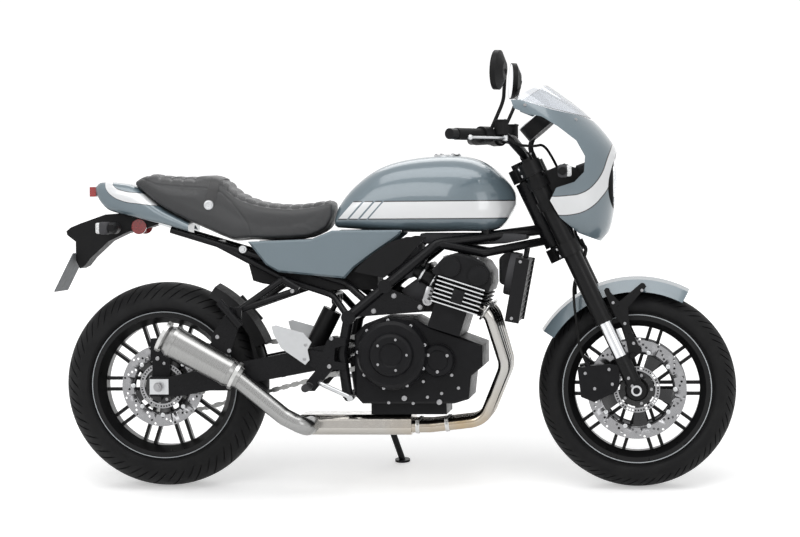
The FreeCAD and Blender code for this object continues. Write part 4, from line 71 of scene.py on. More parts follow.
# Finishes
class Mix:
    """A material that is built node by node on upright coordinates."""

    def __init__(self, name, colour, metallic, roughness):
        self.material = bpy.data.materials.new(name)
        self.material.use_nodes = True
        self.tree = self.material.node_tree
        self.shader = self.tree.nodes["Principled BSDF"]
        self.shader.inputs["Base Color"].default_value = (*colour, 1)
        self.shader.inputs["Metallic"].default_value = metallic
        self.shader.inputs["Roughness"].default_value = roughness
        coords = self.tree.nodes.new("ShaderNodeTexCoord")
        mapping = self.tree.nodes.new("ShaderNodeMapping")
        mapping.inputs["Rotation"].default_value = (LEAN_ANGLE, 0, 0)
        mapping.inputs["Location"].default_value = (0, CROWN_LIFT * math.sin(LEAN_ANGLE),
                                                    -CROWN_LIFT * math.cos(LEAN_ANGLE))
        self.tree.links.new(coords.outputs["Object"], mapping.inputs["Vector"])
        self.place = mapping.outputs["Vector"]

    def node(self, kind, inputs=(), **settings):
        """Add a node; its inputs are sockets or plain values by name or number."""
        made = self.tree.nodes.new("ShaderNode" + kind)
        for key, value in settings.items():
            setattr(made, key, value)
        for key, value in dict(inputs).items():
            self.put(made.inputs[key], value)
        return made

    def put(self, socket, value):
        """Link a socket or set its value."""
        if isinstance(value, bpy.types.NodeSocket):
            self.tree.links.new(value, socket)
        else:
            socket.default_value = value

    def shade(self, name, value):
        """Set one of the shader's inputs to a value or a socket."""
        self.put(self.shader.inputs[name], value)

    def base(self, value):
        """Set the base colour."""
        self.shade("Base Color", value)

    def rough(self, value):
        """Set the roughness."""
        self.shade("Roughness", value)

    def metal(self, value):
        """Set how metallic the surface is."""
        self.shade("Metallic", value)

    def maths(self, operation, first, second=0.0):
        """One sum, as a socket."""
        return self.node("Math", {0: first, 1: second}, operation=operation).outputs[0]

    def noise(self, scale, detail=3.0, rough=0.5, stretch=None):
        """Noise on the machine's own coordinates, stretched where asked."""
        place = self.place
        if stretch:
            place = self.node("Mapping", {"Vector": place, "Scale": stretch}).outputs[0]
        made = self.node("TexNoise", {"Vector": place, "Scale": scale, "Detail": detail, "Roughness": rough})
        return made.outputs["Fac"]

    def spread(self, value, low, high, low_out, high_out):
        """Map a range of values to another."""
        return self.node("MapRange", {"Value": value, "From Min": low, "From Max": high,
                                      "To Min": low_out, "To Max": high_out}).outputs["Result"]

    def blend(self, share, first, second):
        """Mix two colours by a share."""
        made = self.node("Mix", data_type="RGBA")
        self.put(made.inputs[0], share)
        for socket, value in ((made.inputs[6], first), (made.inputs[7], second)):
            self.put(socket, (*value, 1) if isinstance(value, tuple) and len(value) == 3 else value)
        return made.outputs[2]

    def bump(self, height, distance):
        """Send a height to the shader's normal."""
        made = self.node("Bump", {"Height": height, "Distance": distance, "Strength": 1.0})
        self.shade("Normal", made.outputs["Normal"])

    def tone(self, colour, depth, scale):
        """Colour with slight variation, as a socket."""
        darker = tuple(max(0.0, c * (1 - depth)) for c in colour)
        lighter = tuple(min(1.0, c * (1 + depth)) for c in colour)
        return self.blend(self.noise(scale, 4.0), darker, lighter)

    def worn(self, low, high, scale):
        """Roughness that changes a little over the surface."""
        self.rough(self.spread(self.noise(scale, 5.0, 0.6), 0.3, 0.7, low, high))


def coated_black(name, colour=(0.008, 0.008, 0.009), low=0.28, high=0.42):
    """Black coat over metal with a fine orange peel."""
    mix = Mix(name, colour, 0.0, low)
    mix.shade("Specular IOR Level", 0.16)
    mix.base(mix.tone(colour, 0.25, 60))
    mix.worn(low, high, 35)
    mix.bump(mix.noise(900.0, 2.0), 0.00006)
    return mix.material


def cast_black(name, colour=(0.009, 0.009, 0.010)):
    """Black paint over rough castings."""
    mix = Mix(name, colour, 0.0, 0.4)
    mix.shade("Specular IOR Level", 0.12)
    mix.base(mix.tone(colour, 0.35, 25))
    mix.worn(0.28, 0.46, 50)
    mix.bump(mix.noise(1400.0, 4.0, 0.65), 0.0002)
    return mix.material


def moulded_plastic(name, colour=(0.008, 0.008, 0.0085)):
    """Textured black plastic."""
    mix = Mix(name, colour, 0.0, 0.5)
    mix.shade("Specular IOR Level", 0.14)
    mix.base(mix.tone(colour, 0.2, 40))
    mix.worn(0.4, 0.56, 70)
    mix.bump(mix.noise(1800.0, 3.0), 0.00015)
    return mix.material


def bare_metal(name, colour, low, high, stretch, depth=0.08):
    """Metal with brush marks along one direction."""
    mix = Mix(name, colour, 1.0, low)
    grain = mix.noise(220.0, 6.0, 0.7, stretch)
    darker = tuple(c * (1 - depth) for c in colour)
    mix.base(mix.blend(grain, darker, colour))
    mix.rough(mix.spread(grain, 0.25, 0.75, low, high))
    mix.bump(grain, 0.00004)
    return mix.material


def road_rubber(name, colour=(0.009, 0.009, 0.0095)):
    """Tyre rubber, a little dusty."""
    mix = Mix(name, colour, 0.0, 0.6)
    mix.shade("Specular IOR Level", 0.14)
    dust = mix.noise(14.0, 6.0, 0.65)
    mix.base(mix.blend(mix.spread(dust, 0.45, 0.8, 0.0, 0.5), colour, (0.018, 0.018, 0.018)))
    mix.worn(0.5, 0.7, 30)
    mix.bump(mix.noise(1600.0, 3.0), 0.0002)
    return mix.material


def clear_pane(name, colour):
    """Clear or smoked plastic."""
    mix = Mix(name, colour, 0.0, 0.03)
    mix.rough(mix.spread(mix.noise(20.0), 0.3, 0.7, 0.03, 0.06))
    mix.shade("Transmission Weight", 1.0)
    mix.shade("IOR", 1.45)
    return mix.material


def lit_lens(name, colour):
    """Coloured lens with moulded optics below its surface."""
    mix = Mix(name, colour, 0.0, 0.12)
    cells = mix.node("TexVoronoi", {"Vector": mix.place, "Scale": 190.0}).outputs["Distance"]
    mix.base(mix.blend(mix.spread(cells, 0.0, 0.6, 0.0, 1.0), tuple(c * 0.55 for c in colour), colour))
    mix.bump(cells, 0.0005)
    mix.shade("Coat Weight", 1.0)
    mix.shade("Coat Roughness", 0.03)
    return mix.material


PAINT = (0.132, 0.178, 0.206)
STRIPE_WHITE = (0.78, 0.79, 0.80)
STRIPE_BLACK = (0.012, 0.012, 0.014)


def gloss_paint(name, bands=()):
    """Blue grey paint under lacquer, with stripes where bands give a mask and a colour."""
    mix = Mix(name, PAINT, 0.0, 0.3)
    colour = mix.tone(PAINT, 0.05, 9.0)
    flake = mix.node("TexVoronoi", {"Vector": mix.place, "Scale": 2600.0})
    colour = mix.blend(mix.spread(flake.outputs["Distance"], 0.0, 0.5, 0.10, 0.0), colour, (0.5, 0.56, 0.6))
    for mask, band_colour in bands:
        colour = mix.blend(mask(mix), colour, band_colour)
    mix.base(colour)
    mix.metal(0.12)
    mix.shade("Coat Weight", 1.0)
    mix.shade("Coat Roughness", 0.07)
    mix.rough(mix.spread(mix.noise(120.0), 0.3, 0.7, 0.28, 0.36))
    return mix.material


def parts_of(mix):
    """Sockets of the upright x, y and z."""
    made = mix.node("SeparateXYZ", {0: mix.place})
    return made.outputs[0], made.outputs[1], made.outputs[2]


def between(mix, value, low, high):
    """1 where a value lies between two limits."""
    above = mix.maths("GREATER_THAN", value, low)
    below = mix.maths("LESS_THAN", value, high)
    return mix.maths("MULTIPLY", above, below)


def curve_of(mix, value, limits, points, outcome):
    """A drawn curve of a value: its points are shares of its limits and of the outcome's."""
    share = mix.spread(value, *limits, 0.0, 1.0)
    made = mix.node("FloatCurve", {"Value": share, "Factor": 1.0})
    line = made.mapping.curves[0]
    line.points[0].location = points[0]
    line.points[1].location = points[-1]
    for point in points[1:-1]:
        line.points.new(*point)
    made.mapping.update()
    return mix.spread(made.outputs["Value"], 0.0, 1.0, *outcome)


TANK_BAND_Z = (0.823, 0.873)
TANK_BAND_X = (-0.082, 0.36)
TANK_SLANT, TANK_SLANT_Z = 0.92, 0.824
TANK_BARS = ((-0.178, -0.150), (-0.143, -0.116), (-0.109, -0.088))


def tank_band(margin):
    """Mask of the tank's band with its slanted rear bars, grown up and down by a margin."""
    def mask(mix):
        x, _, z = parts_of(mix)
        lean = mix.maths("MULTIPLY", mix.maths("SUBTRACT", z, TANK_SLANT_Z), TANK_SLANT)
        slant = mix.maths("SUBTRACT", x, lean)
        inside = between(mix, z, TANK_BAND_Z[0] - margin, TANK_BAND_Z[1] + margin)
        front = mix.maths("MULTIPLY", mix.maths("GREATER_THAN", slant, TANK_BAND_X[0]),
                          mix.maths("LESS_THAN", x, TANK_BAND_X[1]))
        for start, end in TANK_BARS:
            front = mix.maths("MAXIMUM", front, between(mix, slant, start, end))
        return mix.maths("MULTIPLY", inside, front)
    return mask


def edged(band, margin):
    """A white band on a black one that is wider by a margin, as masks with their colours."""
    return [(band(margin), STRIPE_BLACK), (band(0.0), STRIPE_WHITE)]


def seat_cover(name, colour=(0.0165, 0.0172, 0.0188)):
    """Grained seat cover with fine wrinkles."""
    mix = Mix(name, colour, 0.0, 0.45)
    cells = mix.node("TexVoronoi", {"Vector": mix.place, "Scale": 520.0}, feature="DISTANCE_TO_EDGE")
    wrinkle = mix.noise(70.0, 5.0, 0.6)
    mix.base(mix.tone(colour, 0.22, 14.0))
    mix.rough(mix.spread(wrinkle, 0.3, 0.7, 0.34, 0.48))
    pores = mix.maths("MULTIPLY", mix.spread(cells.outputs["Distance"], 0.0, 0.12, 0.0, 1.0), 0.6)
    mix.bump(mix.maths("ADD", pores, mix.maths("MULTIPLY", wrinkle, 0.6)), 0.0003)
    mix.shade("Sheen Weight", 0.12)
    mix.shade("Coat Weight", 0.15)
    mix.shade("Coat Roughness", 0.35)
    return mix.material


def disc_steel(name, axle, carrier, colour=(0.36, 0.36, 0.37)):
    """Ground disc with turning marks round its axle and a black carrier up to a radius."""
    mix = Mix(name, colour, 1.0, 0.3)
    x, _, z = parts_of(mix)
    reach = away_from(mix, x, z, axle)
    marks = mix.node("TexNoise", {"Scale": 1.0, "Detail": 5.0, "Roughness": 0.7}, noise_dimensions="1D")
    mix.put(marks.inputs["W"], mix.maths("MULTIPLY", reach, 1400.0))
    plate = mix.maths("GREATER_THAN", reach, carrier * MM)
    ground = mix.blend(marks.outputs["Fac"], tuple(c * 0.8 for c in colour), colour)
    mix.base(mix.blend(plate, (0.012, 0.012, 0.013), ground))
    mix.metal(plate)
    mix.rough(mix.spread(marks.outputs["Fac"], 0.3, 0.7, 0.24, 0.36))
    mix.bump(marks.outputs["Fac"], 0.00005)
    return mix.material


def away_from(mix, x, z, centre):
    """Distance from an axle or another centre, as a socket."""
    along = mix.maths("SUBTRACT", x, centre.x)
    up = mix.maths("SUBTRACT", z, centre.z)
    return mix.maths("SQRT", mix.maths("ADD", mix.maths("MULTIPLY", along, along),
                                       mix.maths("MULTIPLY", up, up)))


def grip_rubber(name, colour=(0.009, 0.009, 0.009)):
    """Soft rubber with fine ribs."""
    mix = Mix(name, colour, 0.0, 0.6)
    mix.shade("Specular IOR Level", 0.14)
    mix.base(mix.tone(colour, 0.25, 50))
    ribs = mix.node("TexWave", {"Vector": mix.place, "Scale": 95.0}, bands_direction="Y")
    mix.bump(mix.maths("ADD", ribs.outputs["Fac"], mix.noise(900.0, 2.0)), 0.0003)
    return mix.material


RIM_LINE, RIM_SIDE = (0.2235, 0.2305), 0.040


def lined_wheel(name, axle, colour=(0.009, 0.009, 0.0095)):
    """Black wheel with a thin silver line round its rim."""
    mix = Mix(name, colour, 0.0, 0.32)
    mix.shade("Specular IOR Level", 0.2)
    x, y, z = parts_of(mix)
    reach = away_from(mix, x, z, axle)
    out = mix.maths("GREATER_THAN", mix.maths("ABSOLUTE", y), RIM_SIDE)
    line = mix.maths("MULTIPLY", between(mix, reach, *RIM_LINE), out)
    mix.base(mix.blend(line, mix.tone(colour, 0.25, 60), (0.50, 0.53, 0.55)))
    mix.worn(0.26, 0.38, 35)
    mix.bump(mix.noise(900.0, 2.0), 0.00005)
    return mix.material


FIN_EDGE = 0.1893


def finned_black(name, colour=(0.010, 0.010, 0.011)):
    """Black cylinders whose fins have bright machined edges at the sides."""
    mix = Mix(name, colour, 0.0, 0.4)
    mix.shade("Specular IOR Level", 0.12)
    _, y, _ = parts_of(mix)
    cut = mix.maths("GREATER_THAN", mix.maths("ABSOLUTE", y), FIN_EDGE)
    mix.base(mix.blend(cut, mix.tone(colour, 0.3, 25), (0.66, 0.67, 0.68)))
    mix.metal(cut)
    mix.rough(mix.spread(mix.noise(50.0), 0.3, 0.7, 0.3, 0.46))
    mix.bump(mix.noise(1400.0, 4.0, 0.65), 0.0002)
    return mix.material


CORE_HALF = 0.140


def cooling_core(name, colour=(0.011, 0.011, 0.012)):
    """Black radiator with the fine rows of its core on the front and the back."""
    mix = Mix(name, colour, 0.0, 0.4)
    mix.shade("Specular IOR Level", 0.14)
    _, y, _ = parts_of(mix)
    core = mix.maths("LESS_THAN", mix.maths("ABSOLUTE", y), CORE_HALF)
    rows = mix.node("TexWave", {"Vector": mix.place, "Scale": 62.0}, bands_direction="Z")
    cells = mix.node("TexWave", {"Vector": mix.place, "Scale": 150.0}, bands_direction="Y")
    grid = mix.maths("ADD", rows.outputs["Fac"], mix.maths("MULTIPLY", cells.outputs["Fac"], 0.4))
    grid = mix.maths("MULTIPLY", grid, core)
    mix.base(mix.blend(grid, colour, (0.03, 0.03, 0.032)))
    mix.bump(grid, 0.0015)
    return mix.material


HEATED_Z, HEATED_X = (0.33, 0.21), (-0.05, 0.10)


def header_steel(name, colour=(0.44, 0.43, 0.41), heated=(0.42, 0.33, 0.22)):
    """Polished pipes that heat has turned straw yellow near the collector."""
    mix = Mix(name, colour, 1.0, 0.16)
    x, _, z = parts_of(mix)
    heat = mix.maths("MULTIPLY", mix.spread(z, *HEATED_Z, 0.0, 1.0), mix.spread(x, *HEATED_X, 0.15, 1.0))
    patch = mix.maths("MULTIPLY", heat, mix.spread(mix.noise(9.0), 0.3, 0.65, 0.35, 1.0))
    mix.base(mix.blend(patch, colour, heated))
    mix.rough(mix.spread(mix.noise(60.0, 5.0), 0.3, 0.7, 0.10, 0.22))
    return mix.material


MUFFLER_START, MUFFLER_RUN = (-467, -206, 344), (-239, 0, 131)


def muffler_steel(name, colour=(0.34, 0.34, 0.335)):
    """Stainless can, brushed round its own axis."""
    mix = Mix(name, colour, 1.0, 0.28)
    x, _, z = parts_of(mix)
    axis = Vector(MUFFLER_RUN).normalized()
    along = mix.maths("ADD", mix.maths("MULTIPLY", x, axis.x), mix.maths("MULTIPLY", z, axis.z))
    marks = mix.node("TexNoise", {"Scale": 1.0, "Detail": 4.0, "Roughness": 0.6}, noise_dimensions="1D")
    mix.put(marks.inputs["W"], mix.maths("MULTIPLY", along, 900.0))
    mix.base(mix.blend(marks.outputs["Fac"], tuple(c * 0.9 for c in colour), colour))
    mix.rough(mix.spread(marks.outputs["Fac"], 0.3, 0.7, 0.22, 0.32))
    mix.bump(marks.outputs["Fac"], 0.00003)
    return mix.material


PEG_SIDE, PEG_FRONT = 0.1905, -0.235


def peg_alloy(name, colour=(0.56, 0.57, 0.58)):
    """Alloy pedals whose pegs wear black rubber."""
    mix = Mix(name, colour, 1.0, 0.3)
    x, y, _ = parts_of(mix)
    rubber = mix.maths("MULTIPLY", mix.maths("GREATER_THAN", mix.maths("ABSOLUTE", y), PEG_SIDE),
                       mix.maths("LESS_THAN", x, PEG_FRONT))
    mix.base(mix.blend(rubber, mix.tone(colour, 0.06, 60), (0.011, 0.011, 0.012)))
    mix.metal(mix.maths("SUBTRACT", 1.0, rubber))
    mix.rough(mix.spread(rubber, 0.0, 1.0, 0.32, 0.55))
    ribs = mix.node("TexWave", {"Vector": mix.place, "Scale": 60.0}, bands_direction="Y")
    mix.bump(mix.maths("MULTIPLY", ribs.outputs["Fac"], rubber), 0.0008)
    return mix.material


COWL_BAND_CENTRE = Vector((0.480, 0, 1.010))
COWL_BAND_TURNS = (math.radians(-95), math.radians(20))
COWL_BAND_REACH = (0.116, 0.212)
COWL_BAND_INNER = ((0.04, 0.10), (0.20, 0.15), (0.33, 0.27), (0.44, 0.35), (0.545, 0.39), (0.66, 0.43),
                   (0.77, 0.47), (0.86, 0.57), (0.96, 0.74))
COWL_BAND_OUTER = ((0.04, 0.63), (0.10, 0.68), (0.20, 0.74), (0.29, 0.79), (0.38, 0.80), (0.47, 0.78),
                   (0.55, 0.77), (0.64, 0.71), (0.705, 0.68), (0.80, 0.71), (0.89, 0.81), (0.97, 0.86))


def cowl_band(margin):
    """Mask of the band that sweeps up the cowl's side beside the lamp, grown by a margin."""
    def mask(mix):
        x, _, z = parts_of(mix)
        turn = mix.maths("ARCTAN2", mix.maths("SUBTRACT", z, COWL_BAND_CENTRE.z),
                         mix.maths("SUBTRACT", x, COWL_BAND_CENTRE.x))
        reach = away_from(mix, x, z, COWL_BAND_CENTRE)
        inner = curve_of(mix, turn, COWL_BAND_TURNS, COWL_BAND_INNER, COWL_BAND_REACH)
        outer = curve_of(mix, turn, COWL_BAND_TURNS, COWL_BAND_OUTER, COWL_BAND_REACH)
        ring = between(mix, reach, mix.maths("SUBTRACT", inner, margin), mix.maths("ADD", outer, margin))
        return mix.maths("MULTIPLY", ring, between(mix, turn, *COWL_BAND_TURNS))
    return mask


TAIL_BAND_X, TAIL_BAND_Z, TAIL_BAND_REAR = (-0.915, -0.715), (0.860, 1.010), -0.909
TAIL_BAND_LOW = ((0.0, 0.98), (0.03, 0.60), (0.045, 0.50), (0.075, 0.39), (0.17, 0.26), (0.365, 0.147),
                 (0.59, 0.10), (0.91, 0.053), (1.0, 0.05))
TAIL_BAND_HIGH = ((0.0, 1.0), (0.14, 1.0), (0.15, 0.60), (0.17, 0.49), (0.23, 0.41), (0.33, 0.36),
                  (0.49, 0.32), (0.91, 0.29), (1.0, 0.29))


def tail_band(margin):
    """Mask of the band that crosses the tail and runs forward along both sides, grown by a margin."""
    def mask(mix):
        x, _, z = parts_of(mix)
        low = curve_of(mix, x, TAIL_BAND_X, TAIL_BAND_LOW, TAIL_BAND_Z)
        high = curve_of(mix, x, TAIL_BAND_X, TAIL_BAND_HIGH, TAIL_BAND_Z)
        side = between(mix, z, mix.maths("SUBTRACT", low, margin), mix.maths("ADD", high, margin))
        return mix.maths("MULTIPLY", side, mix.maths("GREATER_THAN", x, TAIL_BAND_REAR - margin))
    return mask


def fill(node, material):
    """Give every slot of a node's object one material."""
    mesh = NODES[node].data
    mesh.materials.clear()
    mesh.materials.append(material)


# Modelling helpers
def deselect():
    """Leave edit mode and select nothing."""
    if bpy.context.object and bpy.context.object.mode != "OBJECT":
        bpy.ops.object.mode_set(mode="OBJECT")
    bpy.ops.object.select_all(action="DESELECT")


def active():
    """The object just made."""
    return bpy.context.view_layer.objects.active


def pick(obj):
    """Select one object alone."""
    deselect()
    obj.select_set(True)
    bpy.context.view_layer.objects.active = obj


def choose(obj, test):
    """Select the faces of an object in edit mode by a test on their normal."""
    mesh = bmesh.from_edit_mesh(obj.data)
    for face in mesh.faces:
        face.select_set(test(face.normal))
    mesh.select_flush_mode()
    bmesh.update_edit_mesh(obj.data)


def modifier(obj, kind, **settings):
    """Add a modifier and apply it."""
    pick(obj)
    made = obj.modifiers.new(kind.lower(), kind)
    for key, value in settings.items():
        setattr(made, key, value)
    bpy.ops.object.modifier_apply(modifier=made.name)


def join(objects, name):
    """Join several objects to one with a name."""
    deselect()
    for obj in objects:
        obj.select_set(True)
    bpy.context.view_layer.objects.active = objects[0]
    if len(objects) > 1:
        bpy.ops.object.join()
    objects[0].name = name
    return objects[0]


def copied(obj, matrix):
    """A copy of an object with a mesh of its own, moved by a matrix."""
    twin = obj.copy()
    twin.data = obj.data.copy()
    bpy.context.scene.collection.objects.link(twin)
    twin.data.transform(matrix)
    return twin


def facing(place, direction, spin=0.0):
    """Matrix that turns Y to a direction, at a place in millimetres."""
    turn = Vector((0, 1, 0)).rotation_difference(Vector(direction).normalized())
    return (Matrix.Translation(Vector(place) * MM) @ turn.to_matrix().to_4x4()
            @ Matrix.Rotation(spin, 4, "Y"))


def turned(outline, steps):
    """Spin a closed outline of radius and width, in millimetres, round the Y axis."""
    deselect()
    bpy.ops.mesh.primitive_circle_add(vertices=len(outline), radius=1)
    obj = active()
    for vertex, (radius, along) in zip(obj.data.vertices, outline):
        vertex.co = (radius * MM, along * MM, 0)
    pick(obj)
    bpy.ops.object.mode_set(mode="EDIT")
    bpy.ops.mesh.select_all(action="SELECT")
    bpy.ops.mesh.spin(steps=steps, angle=2 * math.pi, center=(0, 0, 0), axis=(0, 1, 0))
    closed_up()
    return obj


def closed_up():
    """Merge what meets in the mesh being edited, point its faces outwards and leave edit mode."""
    bpy.ops.mesh.select_all(action="SELECT")
    bpy.ops.mesh.remove_doubles(threshold=1e-6)
    bpy.ops.mesh.normals_make_consistent(inside=False)
    bpy.ops.object.mode_set(mode="OBJECT")


def slab_of(corners, low, high):
    """Solid between two heights over a closed outline of corners, in millimetres."""
    deselect()
    bpy.ops.mesh.primitive_circle_add(vertices=len(corners), radius=1, fill_type="NGON")
    obj = active()
    for vertex, (along, up) in zip(obj.data.vertices, corners):
        vertex.co = (along * MM, up * MM, low * MM)
    pick(obj)
    bpy.ops.object.mode_set(mode="EDIT")
    bpy.ops.mesh.select_all(action="SELECT")
    bpy.ops.mesh.extrude_region_move(TRANSFORM_OT_translate={"value": (0, 0, (high - low) * MM)})
    closed_up()
    return obj


def circle_through(first, middle, last, steps):
    """Points of the arc through three points."""
    (ax, ay), (bx, by), (cx, cy) = first, middle, last
    twice = 2 * (ax * (by - cy) + bx * (cy - ay) + cx * (ay - by))
    one, two, three = ax * ax + ay * ay, bx * bx + by * by, cx * cx + cy * cy
    x = (one * (by - cy) + two * (cy - ay) + three * (ay - by)) / twice
    y = (one * (cx - bx) + two * (ax - cx) + three * (bx - ax)) / twice
    radius = math.hypot(ax - x, ay - y)
    start = math.atan2(ay - y, ax - x)
    full = 2 * math.pi
    sweep = (math.atan2(cy - y, cx - x) - start) % full
    if (math.atan2(by - y, bx - x) - start) % full > sweep:
        sweep -= full
    return [(x + radius * math.cos(start + sweep * step / steps),
             y + radius * math.sin(start + sweep * step / steps)) for step in range(steps + 1)]


def traced(node):
    """A closed copy of a node's mesh, upright, to be worked on."""
    obj = bpy.data.objects.new(node + "_copy", NODES[node].data.copy())
    bpy.context.scene.collection.objects.link(obj)
    obj.data.transform(LEAN.inverted())
    pick(obj)
    bpy.ops.object.mode_set(mode="EDIT")
    bpy.ops.mesh.select_all(action="SELECT")
    bpy.ops.mesh.remove_doubles(threshold=1e-6)
    bpy.ops.object.mode_set(mode="OBJECT")
    return obj


@functools.cache
def surface_of(node):
    """Search tree of a node's faces."""
    mesh = (NODES.get(node) or bpy.data.objects[node]).data
    return BVHTree.FromPolygons([vertex.co for vertex in mesh.vertices],
                                [tuple(face.vertices) for face in mesh.polygons])


RAY_START = 70


def met_at(nodes, place, direction, place_frame=Matrix.Identity(4)):
    """Place in millimetres where a ray from outside first meets one of the nodes."""
    world = LEAN @ place_frame
    ahead = Vector(direction).normalized()
    start = world @ ((Vector(place) + ahead * RAY_START) * MM)
    line = world.to_3x3() @ -ahead
    hits = []
    for node in nodes:
        point, _, _, distance = surface_of(node).ray_cast(start, line, 2 * RAY_START * MM)
        if point:
            hits.append((distance, point))
    if not hits:
        raise ValueError("nothing of %s at %s" % (nodes, tuple(place)))
    return world.inverted() @ min(hits, key=lambda pair: pair[0])[1] / MM


def turns(count):
    """Angles that divide a circle."""
    return [2 * math.pi * index / count for index in range(count)]


def around(hub, reach, turn, y):
    """Place at a distance and an angle from a hub, on a side of the machine."""
    return hub[0] + reach * math.cos(turn), y, hub[2] + reach * math.sin(turn)


def repeated(pattern, places, name):
    """Copies of a pattern at several places as one piece; the pattern itself goes."""
    whole = join([copied(pattern, place) for place in places], name)
    bpy.data.objects.remove(pattern)
    return whole


def box_of(size, bevel=0.0):
    """Box of a size in millimetres round the origin with rounded edges."""
    deselect()
    bpy.ops.mesh.primitive_cube_add(size=1)
    obj = active()
    obj.data.transform(Matrix.Diagonal((size[0] * MM, size[1] * MM, size[2] * MM, 1)))
    if bevel:
        modifier(obj, "BEVEL", width=bevel * MM, segments=2)
    return obj


def finish(obj, body, material, place=Matrix.Identity(4), stands_for=(), smooth=40):
    """Lean a piece with the machine, give it a finish by its name and let it ride on its body."""
    pick(obj)
    bpy.ops.object.transform_apply(location=True, rotation=True, scale=True)
    obj.data.transform(LEAN @ place)
    obj.data.materials.clear()
    obj.data.materials.append(bpy.data.materials[material])
    bpy.ops.object.shade_smooth_by_angle(angle=math.radians(smooth))
    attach(obj, body)
    if stands_for:
        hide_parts(*stands_for)


class Sizes(bpy.types.PropertyGroup):
    """Sizes and colours that can be changed."""
    bolt_radius: bpy.props.FloatProperty(name="Bolt radius", description="Radius of the bolt heads",
                                         default=0.0065, unit="LENGTH")
    tread_depth: bpy.props.FloatProperty(name="Tread depth", description="Depth of the tyres' grooves",
                                         default=0.0035, unit="LENGTH")
    hole_radius: bpy.props.FloatProperty(name="Disc hole radius", description="Radius of the discs' holes",
                                         default=0.0038, unit="LENGTH")
    floor_colour: bpy.props.FloatVectorProperty(name="Floor colour", description="Colour of the floor",
                                                default=(0.9, 0.9, 0.9), subtype="COLOR", size=3)


class Step:
    """Common base of the operators."""
    bl_options = {"REGISTER", "UNDO"}

    def execute(self, context):
        self.build(context.scene.cafe_racer_sizes)
        return {"FINISHED"}


# Stage
FLOOR_SIZE = 120
GLOW_FAR, GLOW_DIP, GLOW_SPREAD = 0.64, 0.27, 20.0
SKY_ON_PIECES, SKY_SEEN = 0.42, 1.0
LAMPS = (("top", (0.0, -0.9, 4.5), (5.0, 2.2), 95), ("key", (-2.2, -3.6, 3.4), (2.6, 2.0), 42),
         ("fill", (3.4, -4.2, 2.4), (2.6, 2.6), 34), ("back", (0.0, 3.6, 3.6), (4.0, 2.0), 45))
LAMP_AIM = Vector((0, 0, 0.6))
CAMERA_PLACE = (0.844, -8.150, 0.874)
CAMERA_YAW, CAMERA_PITCH, CAMERA_ROLL = math.radians(5.91), math.radians(1.44), math.radians(-0.49)
CAMERA_LENS, SENSOR_WIDTH = 119.9, 36


def studio_floor(colour):
    """Pale floor that glows for the camera and in reflections, a little less below the machine."""
    deselect()
    bpy.ops.mesh.primitive_grid_add(size=FLOOR_SIZE, x_subdivisions=8, y_subdivisions=8, location=(0, 0, 0))
    floor = active()
    floor.name = "floor"
    mix = Mix("studio_floor", colour, 0.0, 0.75)
    mix.base(mix.tone(colour, 0.01, 1.5))
    path = mix.node("LightPath").outputs
    seen = mix.maths("MAXIMUM", path["Is Camera Ray"], path["Is Glossy Ray"])
    x, y, _ = parts_of(mix)
    square = mix.maths("ADD", mix.maths("MULTIPLY", x, x), mix.maths("MULTIPLY", y, y))
    away = mix.maths("ADD", mix.maths("DIVIDE", square, GLOW_SPREAD), 1.0)
    dip = mix.maths("DIVIDE", GLOW_DIP, mix.maths("POWER", away, 2.0))
    strength = mix.maths("MULTIPLY", seen, mix.maths("SUBTRACT", GLOW_FAR, dip))
    glow = mix.node("Emission", {"Color": (1, 1, 1, 1), "Strength": strength})
    both = mix.node("AddShader", {0: mix.shader.outputs[0], 1: glow.outputs[0]})
    mix.put(mix.tree.nodes["Material Output"].inputs["Surface"], both.outputs[0])
    floor.data.materials.append(mix.material)


def studio_sky(scene):
    """White surroundings, dimmer for the light that they give to the pieces."""
    world = bpy.data.worlds.new("studio")
    scene.world = world
    world.use_nodes = True
    tree = world.node_tree
    background = tree.nodes["Background"]
    background.inputs["Color"].default_value = (1, 1, 1, 1)
    path = tree.nodes.new("ShaderNodeLightPath")
    seen = path.outputs["Is Camera Ray"]
    for ray in ("Is Transmission Ray", "Is Glossy Ray"):
        either = tree.nodes.new("ShaderNodeMath")
        either.operation = "MAXIMUM"
        tree.links.new(seen, either.inputs[0])
        tree.links.new(path.outputs[ray], either.inputs[1])
        seen = either.outputs[0]
    strength = tree.nodes.new("ShaderNodeMapRange")
    strength.inputs["To Min"].default_value = SKY_ON_PIECES
    strength.inputs["To Max"].default_value = SKY_SEEN
    tree.links.new(seen, strength.inputs["Value"])
    tree.links.new(strength.outputs["Result"], background.inputs["Strength"])


def soft_lamp(scene, name, place, size, power):
    """Rectangular lamp that looks at the machine."""
    lamp = bpy.data.lights.new(name, "AREA")
    lamp.shape = "RECTANGLE"
    lamp.size, lamp.size_y = size
    lamp.energy = power
    holder = bpy.data.objects.new(name, lamp)
    holder.location = place
    holder.rotation_euler = (LAMP_AIM - Vector(place)).to_track_quat("-Z", "Y").to_euler()
    scene.collection.objects.link(holder)


def photo_camera(scene):
    """Camera at the photograph's angle."""
    level = math.cos(CAMERA_PITCH)
    ahead = Vector((-math.sin(CAMERA_YAW) * level, math.cos(CAMERA_YAW) * level, -math.sin(CAMERA_PITCH)))
    turn = ahead.to_track_quat("-Z", "Y").to_matrix().to_4x4() @ Matrix.Rotation(CAMERA_ROLL, 4, "Z")
    camera = bpy.data.cameras.new("photo_view")
    camera.sensor_width = SENSOR_WIDTH
    camera.lens = CAMERA_LENS
    holder = bpy.data.objects.new("photo_view", camera)
    holder.matrix_world = LEAN @ Matrix.Translation(CAMERA_PLACE) @ turn
    scene.collection.objects.link(holder)
    scene.camera = holder


